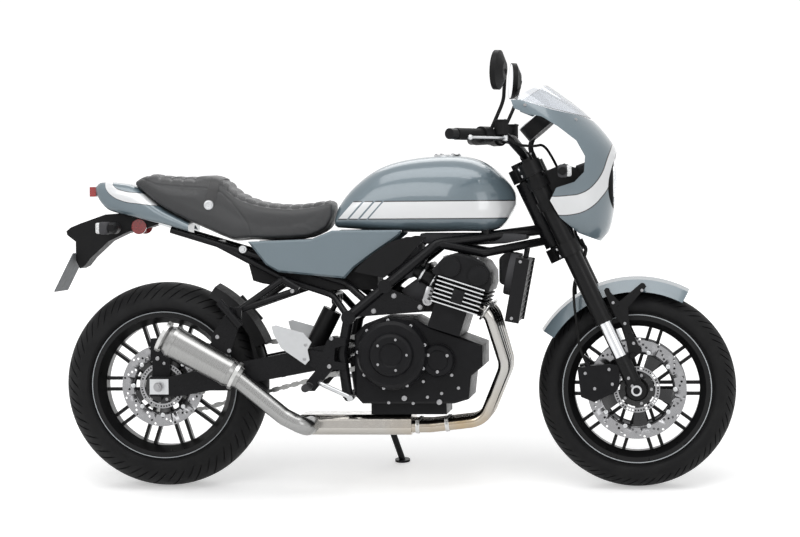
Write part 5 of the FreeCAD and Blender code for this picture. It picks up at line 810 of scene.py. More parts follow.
class MOTORCYCLE_OT_stage(Step, bpy.types.Operator):
    """Floor, lights and the camera at the photograph's angle"""
    bl_idname = "motorcycle.stage"
    bl_label = "Stage"

    def build(self, sizes):
        scene = bpy.context.scene
        scene.view_settings.view_transform = "Standard"
        studio_floor(tuple(sizes.floor_colour))
        studio_sky(scene)
        for lamp in LAMPS:
            soft_lamp(scene, *lamp)
        photo_camera(scene)


class MOTORCYCLE_OT_finishes(Step, bpy.types.Operator):
    """Finishes of every piece that comes from the frame"""
    bl_idname = "motorcycle.finishes"
    bl_label = "Finishes"

    def build(self, sizes):
        """Make the finishes of the added pieces by name, and give each node its own."""
        even = (1, 1, 1)
        bare_metal("bolt_steel", (0.40, 0.40, 0.41), 0.25, 0.4, even)
        bare_metal("lamp_chrome", (0.86, 0.87, 0.88), 0.05, 0.1, even, 0.02)
        disc_steel("front_disc_steel", FRONT_AXLE, 112)
        disc_steel("rear_disc_steel", REAR_AXLE, 86)
        lit_lens("indicator_lens", (0.82, 0.83, 0.84))
        moulded_plastic("dial_black", (0.008, 0.008, 0.009))
        moulded_plastic("dial_white", (0.85, 0.85, 0.84))
        moulded_plastic("needle_red", (0.65, 0.03, 0.02))
        moulded_plastic("satin_grey", (0.10, 0.10, 0.105))
        seat_cover("seat_leather")
        seat_cover("strap_leather", (0.010, 0.010, 0.011))
        finishes = (
            (coated_black("frame_black", low=0.22, high=0.34),
             ("main_frame", "swingarm", "peg_hangers", "pillion_hangers", "side_stand")),
            (coated_black("fork_black", (0.009, 0.009, 0.0095), 0.25, 0.4),
             ("fork_tubes", "fork_feet", "mudguard_braces", "fork_yokes", "handlebar", "rear_shock")),
            (cast_black("engine_black"), ("front_calipers", "rear_caliper", "crankcase", "engine_covers")),
            (moulded_plastic("black_plastic"),
             ("control_sets", "mirrors", "instruments", "headlamp", "front_indicators", "rear_indicators",
              "saddle", "side_scoops", "air_box", "rear_hugger", "plate_holder")),
            (grip_rubber("grip_rubber"), ("grips", "brake_hoses")),
            (bare_metal("satin_alloy", (0.62, 0.63, 0.64), 0.3, 0.45, even),
             ("front_axle", "rear_axle", "levers", "filler_cap")),
            (bare_metal("satin_steel", (0.60, 0.60, 0.59), 0.24, 0.36, even, 0.1),
             ("front_discs", "rear_disc", "front_sprocket", "rear_sprocket", "chain")),
            (bare_metal("hard_chrome", (0.75, 0.76, 0.78), 0.06, 0.12, (1, 1, 0.05), 0.03),
             ("fork_sliders",)),
            (bare_metal("mirror_glass", (0.85, 0.87, 0.9), 0.02, 0.03, even, 0.01), ("mirror_glasses",)),
            (gloss_paint("body_paint"), ("front_mudguard", "side_covers")),
            (gloss_paint("tank_paint", edged(tank_band, 0.0035)), ("fuel_tank",)),
            (gloss_paint("cowl_paint", edged(cowl_band, 0.003)), ("front_cowl",)),
            (gloss_paint("tail_paint", edged(tail_band, 0.002)), ("tail_cowl",)),
            (lined_wheel("front_wheel_black", FRONT_AXLE), ("front_wheel",)),
            (lined_wheel("rear_wheel_black", REAR_AXLE), ("rear_wheel",)),
            (road_rubber("front_rubber"), ("front_tyre",)),
            (road_rubber("rear_rubber"), ("rear_tyre",)),
            (clear_pane("lamp_glass", (0.95, 0.96, 0.97)), ("headlamp_lens",)),
            (clear_pane("smoked_screen", (0.76, 0.78, 0.81)), ("screen",)),
            (finned_black("finned_black"), ("cylinders",)),
            (cast_black("cam_black", (0.012, 0.012, 0.013)), ("cam_cover",)),
            (cooling_core("radiator_black"), ("radiator",)),
            (header_steel("header_steel"), ("exhaust_manifold",)),
            (muffler_steel("muffler_steel"), ("muffler",)),
            (peg_alloy("peg_alloy"), ("foot_controls",)),
            (lit_lens("reflector_red", (0.26, 0.004, 0.004)), ("side_reflectors",)),
            (lit_lens("tail_lamp_red", (0.36, 0.008, 0.007)), ("tail_lamp",)),
            (moulded_plastic("plate_grey", (0.16, 0.17, 0.18)), ("number_plate",)),
        )
        worn = {node: material for material, nodes in finishes for node in nodes}
        for node in NODES:
            fill(node, worn[node])


# Tyres
FRONT_TYRE = dict(radius=299.9, width=120, drop=38, bead=42.9, pitches=34)
REAR_TYRE = dict(radius=315.5, width=180, drop=66, bead=67.9, pitches=30)
TYRE_SEAT, TYRE_LIP = 214.1, 231
CROWN_STEPS, WALL_STEPS = 32, 7
WALL_BOW = 0.1
WALL_RIBS = {2: 0.7, 3: 0.7, 5: 0.4}
TREAD_SHARES = (0.0, 0.10, 0.12, 0.185, 0.205, 0.34, 0.5, 0.60, 0.62, 0.685, 0.705, 0.84)
FIRST_COLUMNS, SECOND_COLUMNS = (2, 3), (8, 9)
LONG_GROOVE, SHORT_GROOVE = (0.12, 0.80), (0.46, 0.86)
GROOVE_TAPER, GROOVE_SWEEP, GROOVE_BEND = 0.07, 1.25, 1.4


def tyre_rows(radius, width, drop, bead):
    """Section of a tyre as rows of radius, width and place across the crown."""
    half = width / 2
    edge = (radius - drop, half)
    wall = ((edge[0] + TYRE_LIP) / 2, half - WALL_BOW)
    side = circle_through((TYRE_LIP, bead), wall, edge, WALL_STEPS)[:-1]
    crown = circle_through(edge, (radius, 0), (edge[0], -half), CROWN_STEPS)
    rows = [(TYRE_SEAT, bead, None), (TYRE_LIP, bead, None)]
    rows += [(out, along + WALL_RIBS.get(step, 0), None) for step, (out, along) in enumerate(side) if step]
    rows += [(out, along, 1 - 2 * step / CROWN_STEPS) for step, (out, along) in enumerate(crown)]
    rows += [(out, -along, None) for out, along, _ in reversed(rows[:2 + WALL_STEPS - 1])]
    return rows


def groove_depth(column, across):
    """Share of the full depth that a groove has at a column of the pitch and a place across the crown."""
    if across is None or not 0 < abs(across) < 1 or column not in FIRST_COLUMNS + SECOND_COLUMNS:
        return 0.0
    low, high = LONG_GROOVE if (column in FIRST_COLUMNS) == (across > 0) else SHORT_GROOVE
    inside = min((abs(across) - low) / GROOVE_TAPER, (high - abs(across)) / GROOVE_TAPER, 1.0)
    return max(0.0, inside)


def road_tyre(name, radius, width, drop, bead, pitches, depth):
    """Tyre whose crown has slanted grooves, round the Y axis."""
    rows = tyre_rows(radius, width, drop, bead)
    count = len(TREAD_SHARES) * pitches
    deselect()
    bpy.ops.mesh.primitive_grid_add(x_subdivisions=count, y_subdivisions=len(rows), size=2)
    obj = active()
    obj.name = name
    centre = radius - ((width / 2) ** 2 + drop ** 2) / (2 * drop)
    for vertex in obj.data.vertices:
        column = round((vertex.co.x + 1) / 2 * count)
        out, along, across = rows[round((vertex.co.y + 1) / 2 * len(rows)) % len(rows)]
        pitch, place = divmod(column % count, len(TREAD_SHARES))
        turn = pitch + TREAD_SHARES[place]
        if across is not None:
            turn += GROOVE_SWEEP * abs(across) ** GROOVE_BEND
            lowered = groove_depth(place, across) * depth
            away = Vector((out - centre, along)).normalized()
            out, along = out - away.x * lowered, along - away.y * lowered
        else:
            turn += GROOVE_SWEEP
        angle = 2 * math.pi * turn / pitches
        vertex.co = (out * MM * math.cos(angle), along * MM, out * MM * math.sin(angle))
    pick(obj)
    bpy.ops.object.mode_set(mode="EDIT")
    closed_up()
    return obj


class MOTORCYCLE_OT_tyres(Step, bpy.types.Operator):
    """Road tyres with slanted grooves, ribbed sidewalls and closed beads"""
    bl_idname = "motorcycle.tyres"
    bl_label = "Tyres"

    def build(self, sizes):
        for end, axle, shape in (("front", FRONT_AXLE, FRONT_TYRE), ("rear", REAR_AXLE, REAR_TYRE)):
            tyre = road_tyre(end + "_road_tyre", depth=sizes.tread_depth / MM, **shape)
            finish(tyre, end + "_wheel", end + "_rubber", Matrix.Translation(axle),
                   (end + "_tyre",), 25)


# Seat
PILLION_CHANNELS = [-768 + 36 * step for step in range(5)]
STEP_CHANNELS = [-531, -510, -488, -463]
RIDER_CHANNELS = [-430 + 34 * step for step in range(7)]
SEAT_CHANNELS = PILLION_CHANNELS + STEP_CHANNELS + RIDER_CHANNELS
SEAT_SIDE_SEAM = ((-800, 957), (-773, 946), (-741, 934), (-664, 926), (-587, 921), (-536, 906), (-504, 877),
                  (-473, 836), (-454, 810), (-445, 775))
PILLION_FRONT, RIDER_SEAM_FRONT = -560, -205
SEAT_EDGE_SHARE = 0.80
PILLION_FADE, RIDER_FADE = (0.62, 0.86), (SEAT_EDGE_SHARE - 0.03, SEAT_EDGE_SHARE)
TOP_FADE, SIDE_FADE = (0.1, 0.45), (0.25, 0.5)
SEAM_DEPTH, SEAM_WIDTH = 2.2, 2.6
CHANNEL_DEPTH, CHANNEL_WIDTH, HOLLOW_DEPTH, HOLLOW_WIDTH = 4.2, 4.0, 1.6, 10
SEAT_SWELL, SEAT_SHRINK, SEAT_VOXEL, SEAT_SLICE = 0.004, 0.003, 0.005, 0.008
HELD_BELOW, CLOTH_FRAMES = -0.35, 20
STRAP_REAR, STRAP_FRONT, STRAP_TOP, STRAP_LOW_Z = -590, -556, -550, 862
STRAP_CENTRE_Z, STRAP_TURN, STRAP_BEND = 0.875, math.radians(96), 0.8
STRAP_LIFT, STRAP_THICKNESS, STRAP_EDGE = 0.0008, 0.0028, 0.0007
BUTTON_PLACE, BUTTON_SINK = (-574, 868), 1.5
BUTTON_DISH = [(0, 4.6), (4, 4.6), (5, 3.4), (9, 3.6), (10.5, 5.6), (14, 5.2), (15.5, 3.2), (15.5, 0), (0, 0)]
KNOB_PLACE = (-472, -100, 732)
KNOB = [(0, 12), (6, 12), (7, 10.5), (11.5, 10.5), (13, 8.5), (13, 4), (9, 3), (9, -6), (0, -6)]


def distance_to_line(point, line):
    """Shortest distance from a point to an open line, all in two directions."""
    best = math.inf
    for start, end in zip(line, line[1:]):
        run = (end[0] - start[0], end[1] - start[1])
        off = (point[0] - start[0], point[1] - start[1])
        share = (off[0] * run[0] + off[1] * run[1]) / (run[0] ** 2 + run[1] ** 2)
        share = min(1.0, max(0.0, share))
        best = min(best, math.hypot(off[0] - share * run[0], off[1] - share * run[1]))
    return best


def ramp(value, low, high):
    """0 below a range, 1 above it, and an even slope between."""
    return min(1.0, max(0.0, (value - low) / (high - low)))


def notch(distance, width):
    """Share of a groove's depth at a distance from its middle."""
    return math.exp(-(distance / width) ** 2)


def widths_along(mesh, step):
    """Half width of a pad in slices along it, evened over its neighbours."""
    slices = {}
    for vertex in mesh.vertices:
        index = round(vertex.co.x / step)
        slices[index] = max(slices.get(index, 0.0), abs(vertex.co.y))
    return {index: sum(slices.get(index + shift, width) for shift in (-2, -1, 0, 1, 2)) / 5
            for index, width in slices.items()}


def swell(pad):
    """Let a pad fill with air against its own cloth, and cap how far it moves."""
    before = [vertex.co.copy() for vertex in pad.data.vertices]
    held = pad.vertex_groups.new(name="held")
    low = [vertex.index for vertex in pad.data.vertices if vertex.normal.z < HELD_BELOW]
    held.add(low, 1.0, "REPLACE")
    pick(pad)
    cloth = pad.modifiers.new("cloth", "CLOTH")
    cloth.settings.quality = 4
    cloth.settings.use_pressure = True
    cloth.settings.uniform_pressure_force = 4
    cloth.settings.effector_weights.gravity = 0
    cloth.settings.vertex_group_mass = "held"
    for number in range(1, CLOTH_FRAMES + 1):
        bpy.context.scene.frame_set(number)
    bpy.ops.object.modifier_apply(modifier=cloth.name)
    bpy.context.scene.frame_set(1)
    for vertex, start in zip(pad.data.vertices, before):
        move = vertex.co - start
        if move.length > SEAT_SWELL:
            vertex.co = start + move.normalized() * SEAT_SWELL


def sew(pad):
    """Press the cross channels and the seams into a pad."""
    widths = widths_along(pad.data, SEAT_SLICE)
    normals = [vertex.normal.copy() for vertex in pad.data.vertices]
    for vertex, normal in zip(pad.data.vertices, normals):
        x, y, z = vertex.co / MM
        half = widths[round(vertex.co.x / SEAT_SLICE)] / MM
        share = abs(y) / max(half, 1.0)
        pillion = x < PILLION_FRONT
        top = ramp(normal.z, *TOP_FADE)
        reach = abs(x - min(SEAT_CHANNELS, key=lambda channel: abs(channel - x)))
        edge = 1 - ramp(share, *(PILLION_FADE if pillion else RIDER_FADE))
        depth = top * edge * (CHANNEL_DEPTH * notch(reach, CHANNEL_WIDTH)
                              + HOLLOW_DEPTH * notch(reach, HOLLOW_WIDTH))
        side = ramp(abs(normal.y), *SIDE_FADE)
        depth += side * SEAM_DEPTH * notch(distance_to_line((x, z), SEAT_SIDE_SEAM), SEAM_WIDTH)
        if not pillion and x < RIDER_SEAM_FRONT:
            depth += top * SEAM_DEPTH * notch((share - SEAT_EDGE_SHARE) * half, SEAM_WIDTH)
        vertex.co -= normal * depth * MM


def arched_strap(pad):
    """Flat strap that lies over a pad from side to side."""
    deselect()
    bpy.ops.mesh.primitive_grid_add(x_subdivisions=6, y_subdivisions=64, size=2)
    strap = active()
    width, middle = (STRAP_FRONT - STRAP_REAR) / 2, (STRAP_REAR + STRAP_FRONT) / 2
    for vertex in strap.data.vertices:
        turn = vertex.co.y * STRAP_TURN
        share = max(0.0, math.cos(turn)) ** STRAP_BEND
        x = (STRAP_TOP * share + middle * (1 - share) + width * vertex.co.x) * MM
        ray = Vector((0, -math.sin(turn), math.cos(turn)))
        hit, point, _, _ = pad.ray_cast(Vector((x, 0, STRAP_CENTRE_Z)) + ray * 0.4, -ray)
        if not hit:
            raise ValueError("the strap misses the seat")
        point.z = max(point.z, STRAP_LOW_Z * MM)
        vertex.co = point + ray * STRAP_LIFT
    modifier(strap, "SOLIDIFY", thickness=STRAP_THICKNESS, offset=1.0)
    modifier(strap, "BEVEL", width=STRAP_EDGE, segments=1, limit_method="ANGLE", angle_limit=math.radians(50))
    strap.name = "seat_strap"
    return strap


def button_place(strap, side):
    """Matrix of a button on the strap at one side of the seat."""
    x, z = BUTTON_PLACE
    hit, point, _, _ = strap.ray_cast(LEAN @ Vector((x * MM, side * 0.3, z * MM)),
                                      LEAN.to_3x3() @ Vector((0, -side, 0)))
    if not hit:
        raise ValueError("a button misses the strap")
    spot = LEAN.inverted() @ point / MM
    return facing(spot - Vector((0, side * BUTTON_SINK, 0)), (0, side, 0))


class MOTORCYCLE_OT_seat(Step, bpy.types.Operator):
    """Padded seat with sewn channels and seams, its strap, buttons and knob"""
    bl_idname = "motorcycle.seat"
    bl_label = "Seat"

    def build(self, sizes):
        pad = traced("saddle")
        pad.name = "seat_pad"
        modifier(pad, "REMESH", mode="VOXEL", voxel_size=SEAT_VOXEL)
        modifier(pad, "SMOOTH", factor=0.5, iterations=6)
        for vertex, normal in zip(pad.data.vertices, [vertex.normal.copy() for vertex in pad.data.vertices]):
            vertex.co -= normal * SEAT_SHRINK
        swell(pad)
        modifier(pad, "SUBSURF", levels=1, render_levels=1)
        strap = arched_strap(pad)
        sew(pad)
        finish(pad, "chassis", "seat_leather", stands_for=("saddle",), smooth=60)
        finish(strap, "chassis", "strap_leather")
        dish = turned(BUTTON_DISH, 40)
        places = [button_place(strap, side) for side in (-1, 1)]
        finish(repeated(dish, places, "seat_buttons"), "chassis", "satin_alloy")
        knob = turned(KNOB, 36)
        knob.name = "seat_knob"
        knob.data.transform(facing(met_at(("main_frame",), KNOB_PLACE, RIGHT), RIGHT))
        finish(knob, "chassis", "satin_alloy")


# Brakes
FRONT_DISC_Y, REAR_DISC_Y = 72, -100
RIVET_OUT, SENSOR_OUT = 2.5, 1.5
RIVET = [(0, 2.4), (3.2, 2.4), (3.6, 1.2), (5.6, 1.2), (6.6, 0.4), (6.6, -1), (0, -1)]
FRONT_RIVETS, REAR_RIVETS = (116, 10), (90, 8)
HOLE_ROWS, HOLE_SLANT, DRILL_LENGTH = 4, 0.62, 0.012
FRONT_HOLES, REAR_HOLES = (122, 144, 15), (96, 119, 12)
SENSOR_TEETH = 48
SENSOR_HUB = [(56, 0), (61, 0), (61, 2.4), (56, 2.4)]
SENSOR_RIM = [(67, 0), (70, 0), (70, 2.4), (67, 2.4)]
SENSOR_TOOTH = [(60, -1.5), (68, -1.8), (68, 1.8), (60, 1.5)]


def hole_rows(low, high, groups):
    """Places of a disc's holes: slanted rows between two radii."""
    places = []
    for group in range(groups):
        for row in range(HOLE_ROWS):
            share = row / (HOLE_ROWS - 1)
            turn = 2 * math.pi * (group + HOLE_SLANT * share) / groups
            places.append((low + (high - low) * share, turn))
    return places


def drilled(node, name, axle, levels, holes, radius):
    """Copy of a disc's node with its plates drilled through."""
    disc = traced(node)
    disc.name = name
    deselect()
    bpy.ops.mesh.primitive_cylinder_add(vertices=12, radius=radius, depth=DRILL_LENGTH,
                                        rotation=(math.pi / 2, 0, 0))
    drill = active()
    pick(drill)
    bpy.ops.object.transform_apply(location=True, rotation=True, scale=True)
    drills = []
    for reach, turn in hole_rows(*holes):
        for level in levels:
            spot = Vector((reach * MM * math.cos(turn), level * MM, reach * MM * math.sin(turn)))
            drills.append(copied(drill, Matrix.Translation(axle + spot)))
    bpy.data.objects.remove(drill)
    cutter = join(drills, "drills")
    modifier(disc, "BOOLEAN", object=cutter, operation="DIFFERENCE", solver="EXACT")
    bpy.data.objects.remove(cutter)
    return disc


class MOTORCYCLE_OT_brakes(Step, bpy.types.Operator):
    """Drilled brake discs with their rivets, and the sensor rings"""
    bl_idname = "motorcycle.brakes"
    bl_label = "Brakes"

    def build(self, sizes):
        front = drilled("front_discs", "front_drilled_discs", FRONT_AXLE, (-FRONT_DISC_Y, FRONT_DISC_Y),
                        FRONT_HOLES, sizes.hole_radius)
        finish(front, "front_wheel", "front_disc_steel", stands_for=("front_discs",))
        rear = drilled("rear_disc", "rear_drilled_disc", REAR_AXLE, (REAR_DISC_Y,), REAR_HOLES,
                       sizes.hole_radius)
        finish(rear, "rear_wheel", "rear_disc_steel", stands_for=("rear_disc",))
        reach, count = FRONT_RIVETS
        places = [facing(around(FRONT_HUB, reach, turn, side * (FRONT_DISC_Y + RIVET_OUT)), (0, side, 0))
                  for turn in turns(count) for side in (-1, 1)]
        finish(repeated(turned(RIVET, 20), places, "front_disc_rivets"), "front_wheel",
               "satin_alloy")
        reach, count = REAR_RIVETS
        places = [facing(around(REAR_HUB, reach, turn, REAR_DISC_Y - RIVET_OUT), RIGHT)
                  for turn in turns(count)]
        finish(repeated(turned(RIVET, 20), places, "rear_disc_rivets"), "rear_wheel", "satin_alloy")
        tooth = slab_of(SENSOR_TOOTH, 0, 2.4)
        for end, axle, level in (("rear", REAR_AXLE, REAR_DISC_Y - SENSOR_OUT),
                                 ("front", FRONT_AXLE, -FRONT_DISC_Y - SENSOR_OUT)):
            parts = [turned(SENSOR_HUB, SENSOR_TEETH), turned(SENSOR_RIM, SENSOR_TEETH)]
            parts += [copied(tooth, Matrix.Rotation(turn, 4, "Y") @ UPRIGHT.inverted())
                      for turn in turns(SENSOR_TEETH)]
            ring = join(parts, end + "_sensor_ring")
            ring.data.transform(Matrix.Translation(axle) @ facing((0, level, 0), RIGHT))
            finish(ring, end + "_wheel", "bolt_steel")
        bpy.data.objects.remove(tooth)


# Lamps
LAMP_PLACE = (652, 0, 932)
BOWL = [(0, 0.3), (76.5, 0.3), (76.5, 7.5), (70, 5.0), (58, 3.0), (42, 1.7), (26, 1.1), (0, 1.1)]
BULB_CAP = [(0, 0.8), (19, 0.8), (19.5, 5.5), (17, 8.5), (10, 10.2), (0, 10.8)]
GLASS_RADIUS, GLASS_BULGE, GLASS_WALL, GLASS_SEAT = 76.9, 16.0, 2.2, 0.1
GLASS_SHARES = (1.0, 0.97, 0.9, 0.8, 0.68, 0.55, 0.4, 0.22, 0.0)
LAMP_RING = [(77.4, 0.2), (86.3, 0.2), (87.0, 2.0), (86.0, 4.4), (82.5, 5.8), (79.0, 5.0), (77.4, 3.0)]
INDICATORS = (("front_indicator", "steering", (512, 203, 961), 17),
              ("rear_indicator", "chassis", (-894, 123, 800), -17))
INDICATOR_LENS, INDICATOR_HOOD = ((18, 54, 34), 6.5), ((30, 60, 38.5), 8)


def lamp_optics():
    """Reflector bowl with the cap over the bulb and the two bars that hold it."""
    optics = [turned(BOWL, 96), turned(BULB_CAP, 48)]
    bar = box_of((54, 1.6, 1.6), 0.4)
    for turn in (0, math.pi):
        optics.append(copied(bar, Matrix.Rotation(turn, 4, "Y") @ Matrix.Translation((0.046, 0.0042, 0))))
    bpy.data.objects.remove(bar)
    return join(optics, "headlamp_optics")


def lamp_glass():
    """Bulged glass of even thickness."""
    ball = (GLASS_RADIUS ** 2 + GLASS_BULGE ** 2) / 2 / GLASS_BULGE
    outer = [(GLASS_RADIUS * share, GLASS_BULGE - ball + math.sqrt(ball ** 2 - (GLASS_RADIUS * share) ** 2))
             for share in GLASS_SHARES]
    inner = [(max(0.0, out - GLASS_WALL * out / GLASS_RADIUS), along - GLASS_WALL)
             for out, along in reversed(outer)]
    inner[-1] = (GLASS_RADIUS - GLASS_WALL, GLASS_SEAT)
    glass = turned([(out, max(along, GLASS_SEAT)) for out, along in outer] + inner, 96)
    glass.name = "headlamp_glass"
    return glass


def indicator_boxes(shape, x, y, z):
    """Rounded boxes of one shape on the right and on the left."""
    boxes = []
    for side in (-1, 1):
        box = box_of(*shape)
        box.data.transform(Matrix.Translation((x * MM, side * y * MM, z * MM)))
        boxes.append(box)
    return boxes


class MOTORCYCLE_OT_lamps(Step, bpy.types.Operator):
    """Headlamp optics, glass and ring, and the indicators' lenses and housings"""
    bl_idname = "motorcycle.lamps"
    bl_label = "Lamps"

    def build(self, sizes):
        ahead = facing(LAMP_PLACE, (1, 0, 0))
        optics = lamp_optics()
        optics.data.transform(ahead)
        finish(optics, "steering", "lamp_chrome")
        glass = lamp_glass()
        glass.data.transform(ahead)
        finish(glass, "steering", "lamp_glass", stands_for=("headlamp_lens",), smooth=50)
        ring = turned(LAMP_RING, 96)
        ring.name = "headlamp_ring"
        ring.data.transform(ahead)
        finish(ring, "steering", "fork_black", smooth=60)
        for name, body, (x, y, z), ahead_of_hood in INDICATORS:
            lenses = indicator_boxes(INDICATOR_LENS, x + ahead_of_hood, y, z)
            finish(join(lenses, name + "_lenses"), body, "indicator_lens", smooth=60)
            hoods = indicator_boxes(INDICATOR_HOOD, x, y, z)
            finish(join(hoods, name + "_housings"), body, "black_plastic", smooth=60)


# Dials
DIAL_PLACE, DIAL_TILT = (412, 54, 1118), math.radians(50)
DIAL_FROM, DIAL_TO, DIAL_MINOR = 225, -45, 5
DIAL_LABELS = ((1, [str(20 * step) for step in range(13)]), (-1, [str(step) for step in range(12)]))
TICK_LEVEL, NUMBER_REACH, NUMBER_SIZE = -3.9, 30, 6.6
MAJOR_TICK, MINOR_TICK = ((5.6, 1.1, 0.4), 37.8), ((3.2, 0.6, 0.4), 39.0)
DIAL_FACE = [(0, -4.8), (42.6, -4.8), (42.6, -3.6), (41.6, -3.6), (41.0, -4.2), (24, -4.2), (23.4, -4.5),
             (0, -4.5)]
NEEDLE_BLADE = [(-9, -1.4), (32, -0.45), (35, 0), (32, 0.45), (-9, 1.4)]
NEEDLE_HUB = [(0, -4.4), (4.6, -4.4), (4.6, -2.2), (3.6, -1.6), (0, -1.5)]
DIAL_RING = [(42.8, -0.6), (48.3, -0.6), (48.6, 0.8), (47.6, 2.4), (45.4, 2.8), (43.4, 1.8)]
DIAL_GLASS = [(0, 0.9), (20, 0.8), (36, 0.3), (43.2, -0.3), (43.2, -0.9), (36, -0.3), (20, 0.2), (0, 0.3)]
DIAL_FINISHES = (("faces", "black_plastic", "dial_black"), ("marks", "mirror", "dial_white"),
                 ("needles", "red_lens", "needle_red"), ("rings", "polished", "satin_alloy"),
                 ("glasses", "clear", "lamp_glass"))


def dial_frame(side):
    """Matrix of a dial: X to the rider's right, Y up its face, Z out of it."""
    out = Vector((-math.cos(DIAL_TILT), 0, math.sin(DIAL_TILT)))
    right = Vector(RIGHT)
    turn = Matrix((right, out.cross(right), out)).transposed().to_4x4()
    x, y, z = DIAL_PLACE
    return Matrix.Translation(Vector((x, side * y, z)) * MM) @ turn


def number_at(text, place):
    """Raised number as a mesh, flat on a dial."""
    deselect()
    bpy.ops.object.text_add()
    obj = active()
    obj.data.body = text
    obj.data.size = NUMBER_SIZE * MM
    obj.data.align_x = "CENTER"
    obj.data.align_y = "CENTER"
    obj.data.extrude = 0.12 * MM
    obj.data.resolution_u = 2
    pick(obj)
    bpy.ops.object.convert(target="MESH")
    obj.data.transform(Matrix.Translation(Vector(place) * MM))
    return obj


def dial_marks(labels):
    """Ticks and numbers round a dial's face."""
    parts = []
    steps = (len(labels) - 1) * DIAL_MINOR
    for step in range(steps + 1):
        turn = math.radians(DIAL_FROM + (DIAL_TO - DIAL_FROM) * step / steps)
        major = step % DIAL_MINOR == 0
        size, reach = MAJOR_TICK if major else MINOR_TICK
        tick = box_of(size)
        tick.data.transform(Matrix.Translation((0, 0, TICK_LEVEL * MM)) @ Matrix.Rotation(turn, 4, "Z")
                            @ Matrix.Translation((reach * MM, 0, 0)))
        parts.append(tick)
        if major:
            place = (NUMBER_REACH * math.cos(turn), NUMBER_REACH * math.sin(turn), TICK_LEVEL)
            parts.append(number_at(labels[step // DIAL_MINOR], place))
    return parts


class MOTORCYCLE_OT_dials(Step, bpy.types.Operator):
    """Dial faces with ticks, plain numbers and needles under their glasses"""
    bl_idname = "motorcycle.dials"
    bl_label = "Dials"

    def build(self, sizes):
        groups = {name: [] for name, _, _ in DIAL_FINISHES}
        for side, labels in DIAL_LABELS:
            face = turned(DIAL_FACE, 72)
            marks = join(dial_marks(labels), "marks")
            blade = slab_of(NEEDLE_BLADE, -3.0, -2.4)
            blade.data.transform(Matrix.Rotation(math.radians(DIAL_FROM), 4, "Z"))
            hub = turned(NEEDLE_HUB, 32)
            ring = turned(DIAL_RING, 72)
            glass = turned(DIAL_GLASS, 72)
            for obj in (face, hub, ring, glass):
                obj.data.transform(UPRIGHT)
            for name, obj in (("faces", face), ("marks", marks), ("needles", join([blade, hub], "needle")),
                              ("rings", ring), ("glasses", glass)):
                obj.data.transform(dial_frame(side))
                groups[name].append(obj)
        for name, slot, material in DIAL_FINISHES:
            finish(join(groups[name], "dial_" + name), "steering", material)


# Engine
BLOCK = Matrix.Translation(Vector((158, 0, 493)) * MM) @ Matrix.Rotation(math.radians(18), 4, "Y")
THROTTLE_Y = (-96, -32, 32, 96)
THROTTLE_PLACE, THROTTLE_WAY = (-58, 112), (-0.97, 0.24)
THROTTLE_BARREL = [(0, 0), (27, 0), (27, 20), (22, 22), (22, 32), (26, 33), (26, 39), (23.5, 40), (23.5, 62),
                   (27.5, 63), (27.5, 74), (21, 76), (21, 92), (0, 92)]
THROTTLE_BAND = [(23, -3.2), (29, -3.2), (29.6, -2), (29.6, 2), (29, 3.2), (23, 3.2)]
THROTTLE_BANDS_ALONG = (28, 68)
FUEL_RAIL = [(0, -128), (5, -128), (7.5, -124), (7.5, 124), (5, 128), (0, 128)]
FUEL_RAIL_PLACE = (-116, 0, 158)
INTAKE_BOX = [(46, 640), (82, 704), (64, 748), (-56, 748), (-56, 668), (-16, 640)]
AIR_VALVES = [(12, 604), (62, 640), (120, 606), (106, 568), (50, 562)]
WIRING_TRAY = [(70, 748), (150, 736), (330, 744), (396, 756), (396, 771), (330, 776), (70, 777)]
THERMOSTAT_CAP = [(0, -14), (17, -14), (17, 6), (15.5, 9), (13, 10), (9, 10), (8, 8), (0, 8)]
THERMOSTAT_NECK, NECK_PLACE, THERMOSTAT_PLACE = (44, 22, 24), (20, 0, -4), (-81, -150, 60)
PLUG_BLOCK, PLUG_BLOCK_PLACE = (36, 8, 42), (4, 188, 100)
PORT_Y, HEADER_Y = (-135, -45, 45, 135), (-66, -22, 22, 66)
PORT_PLACE, PORT_WAY = (91, 82), (0.958, 0, -0.287)
PORT_FLANGE = [(19, 0), (30, 0), (31, 1.5), (31, 5), (29, 6.5), (24, 7), (21, 9), (19, 9)]
HEADER_CLAMPS = (((148, 192.9), (0.994, 0, 0.112)), ((58, 187), (1, 0, 0)))
MUFFLER_BANDS = ((0.06, 43.4), (0.97, 48.9))
FAN = [(0, 0), (64, 0), (64, 22), (61, 26), (56, 26), (54, 8), (22, 8), (20, 24), (12, 27), (0, 27)]
FAN_Y, FAN_PLACE, FAN_WAY, FAN_BLADES = 74, (352, 650), (-0.977, 0, 0.213), 7
FAN_SHROUD = [(308, 622), (352, 606), (376, 706), (336, 722), (308, 700)]


def side_slab(corners, half, bevel):
    """Solid across the machine over an outline of x and z, with rounded edges."""
    obj = slab_of(corners, -half, half)
    obj.data.transform(UPRIGHT)
    modifier(obj, "BEVEL", width=bevel * MM, segments=2, limit_method="ANGLE", angle_limit=math.radians(30))
    return obj


def pipe_clamp(radius):
    """Band round a pipe along Y with its two lugs and screw."""
    band = turned([(radius, -6), (radius + 2.2, -6), (radius + 2.8, -4), (radius + 2.8, 4), (radius + 2.2, 6),
                   (radius, 6)], 36)
    lugs = []
    for side in (-1, 1):
        lug = box_of((9, 11, 2.4), 0.8)
        lug.data.transform(Matrix.Translation(Vector((radius + 6, 0, side * 3.6)) * MM))
        lugs.append(lug)
    screw = turned([(0, -9), (2.4, -9), (2.4, 5), (4.2, 5), (4.2, 8), (3.4, 9), (0, 9)], 14)
    screw.data.transform(Matrix.Translation(Vector((radius + 7, 0, 0)) * MM) @ UPRIGHT)
    return join([band, screw] + lugs, "clamp")


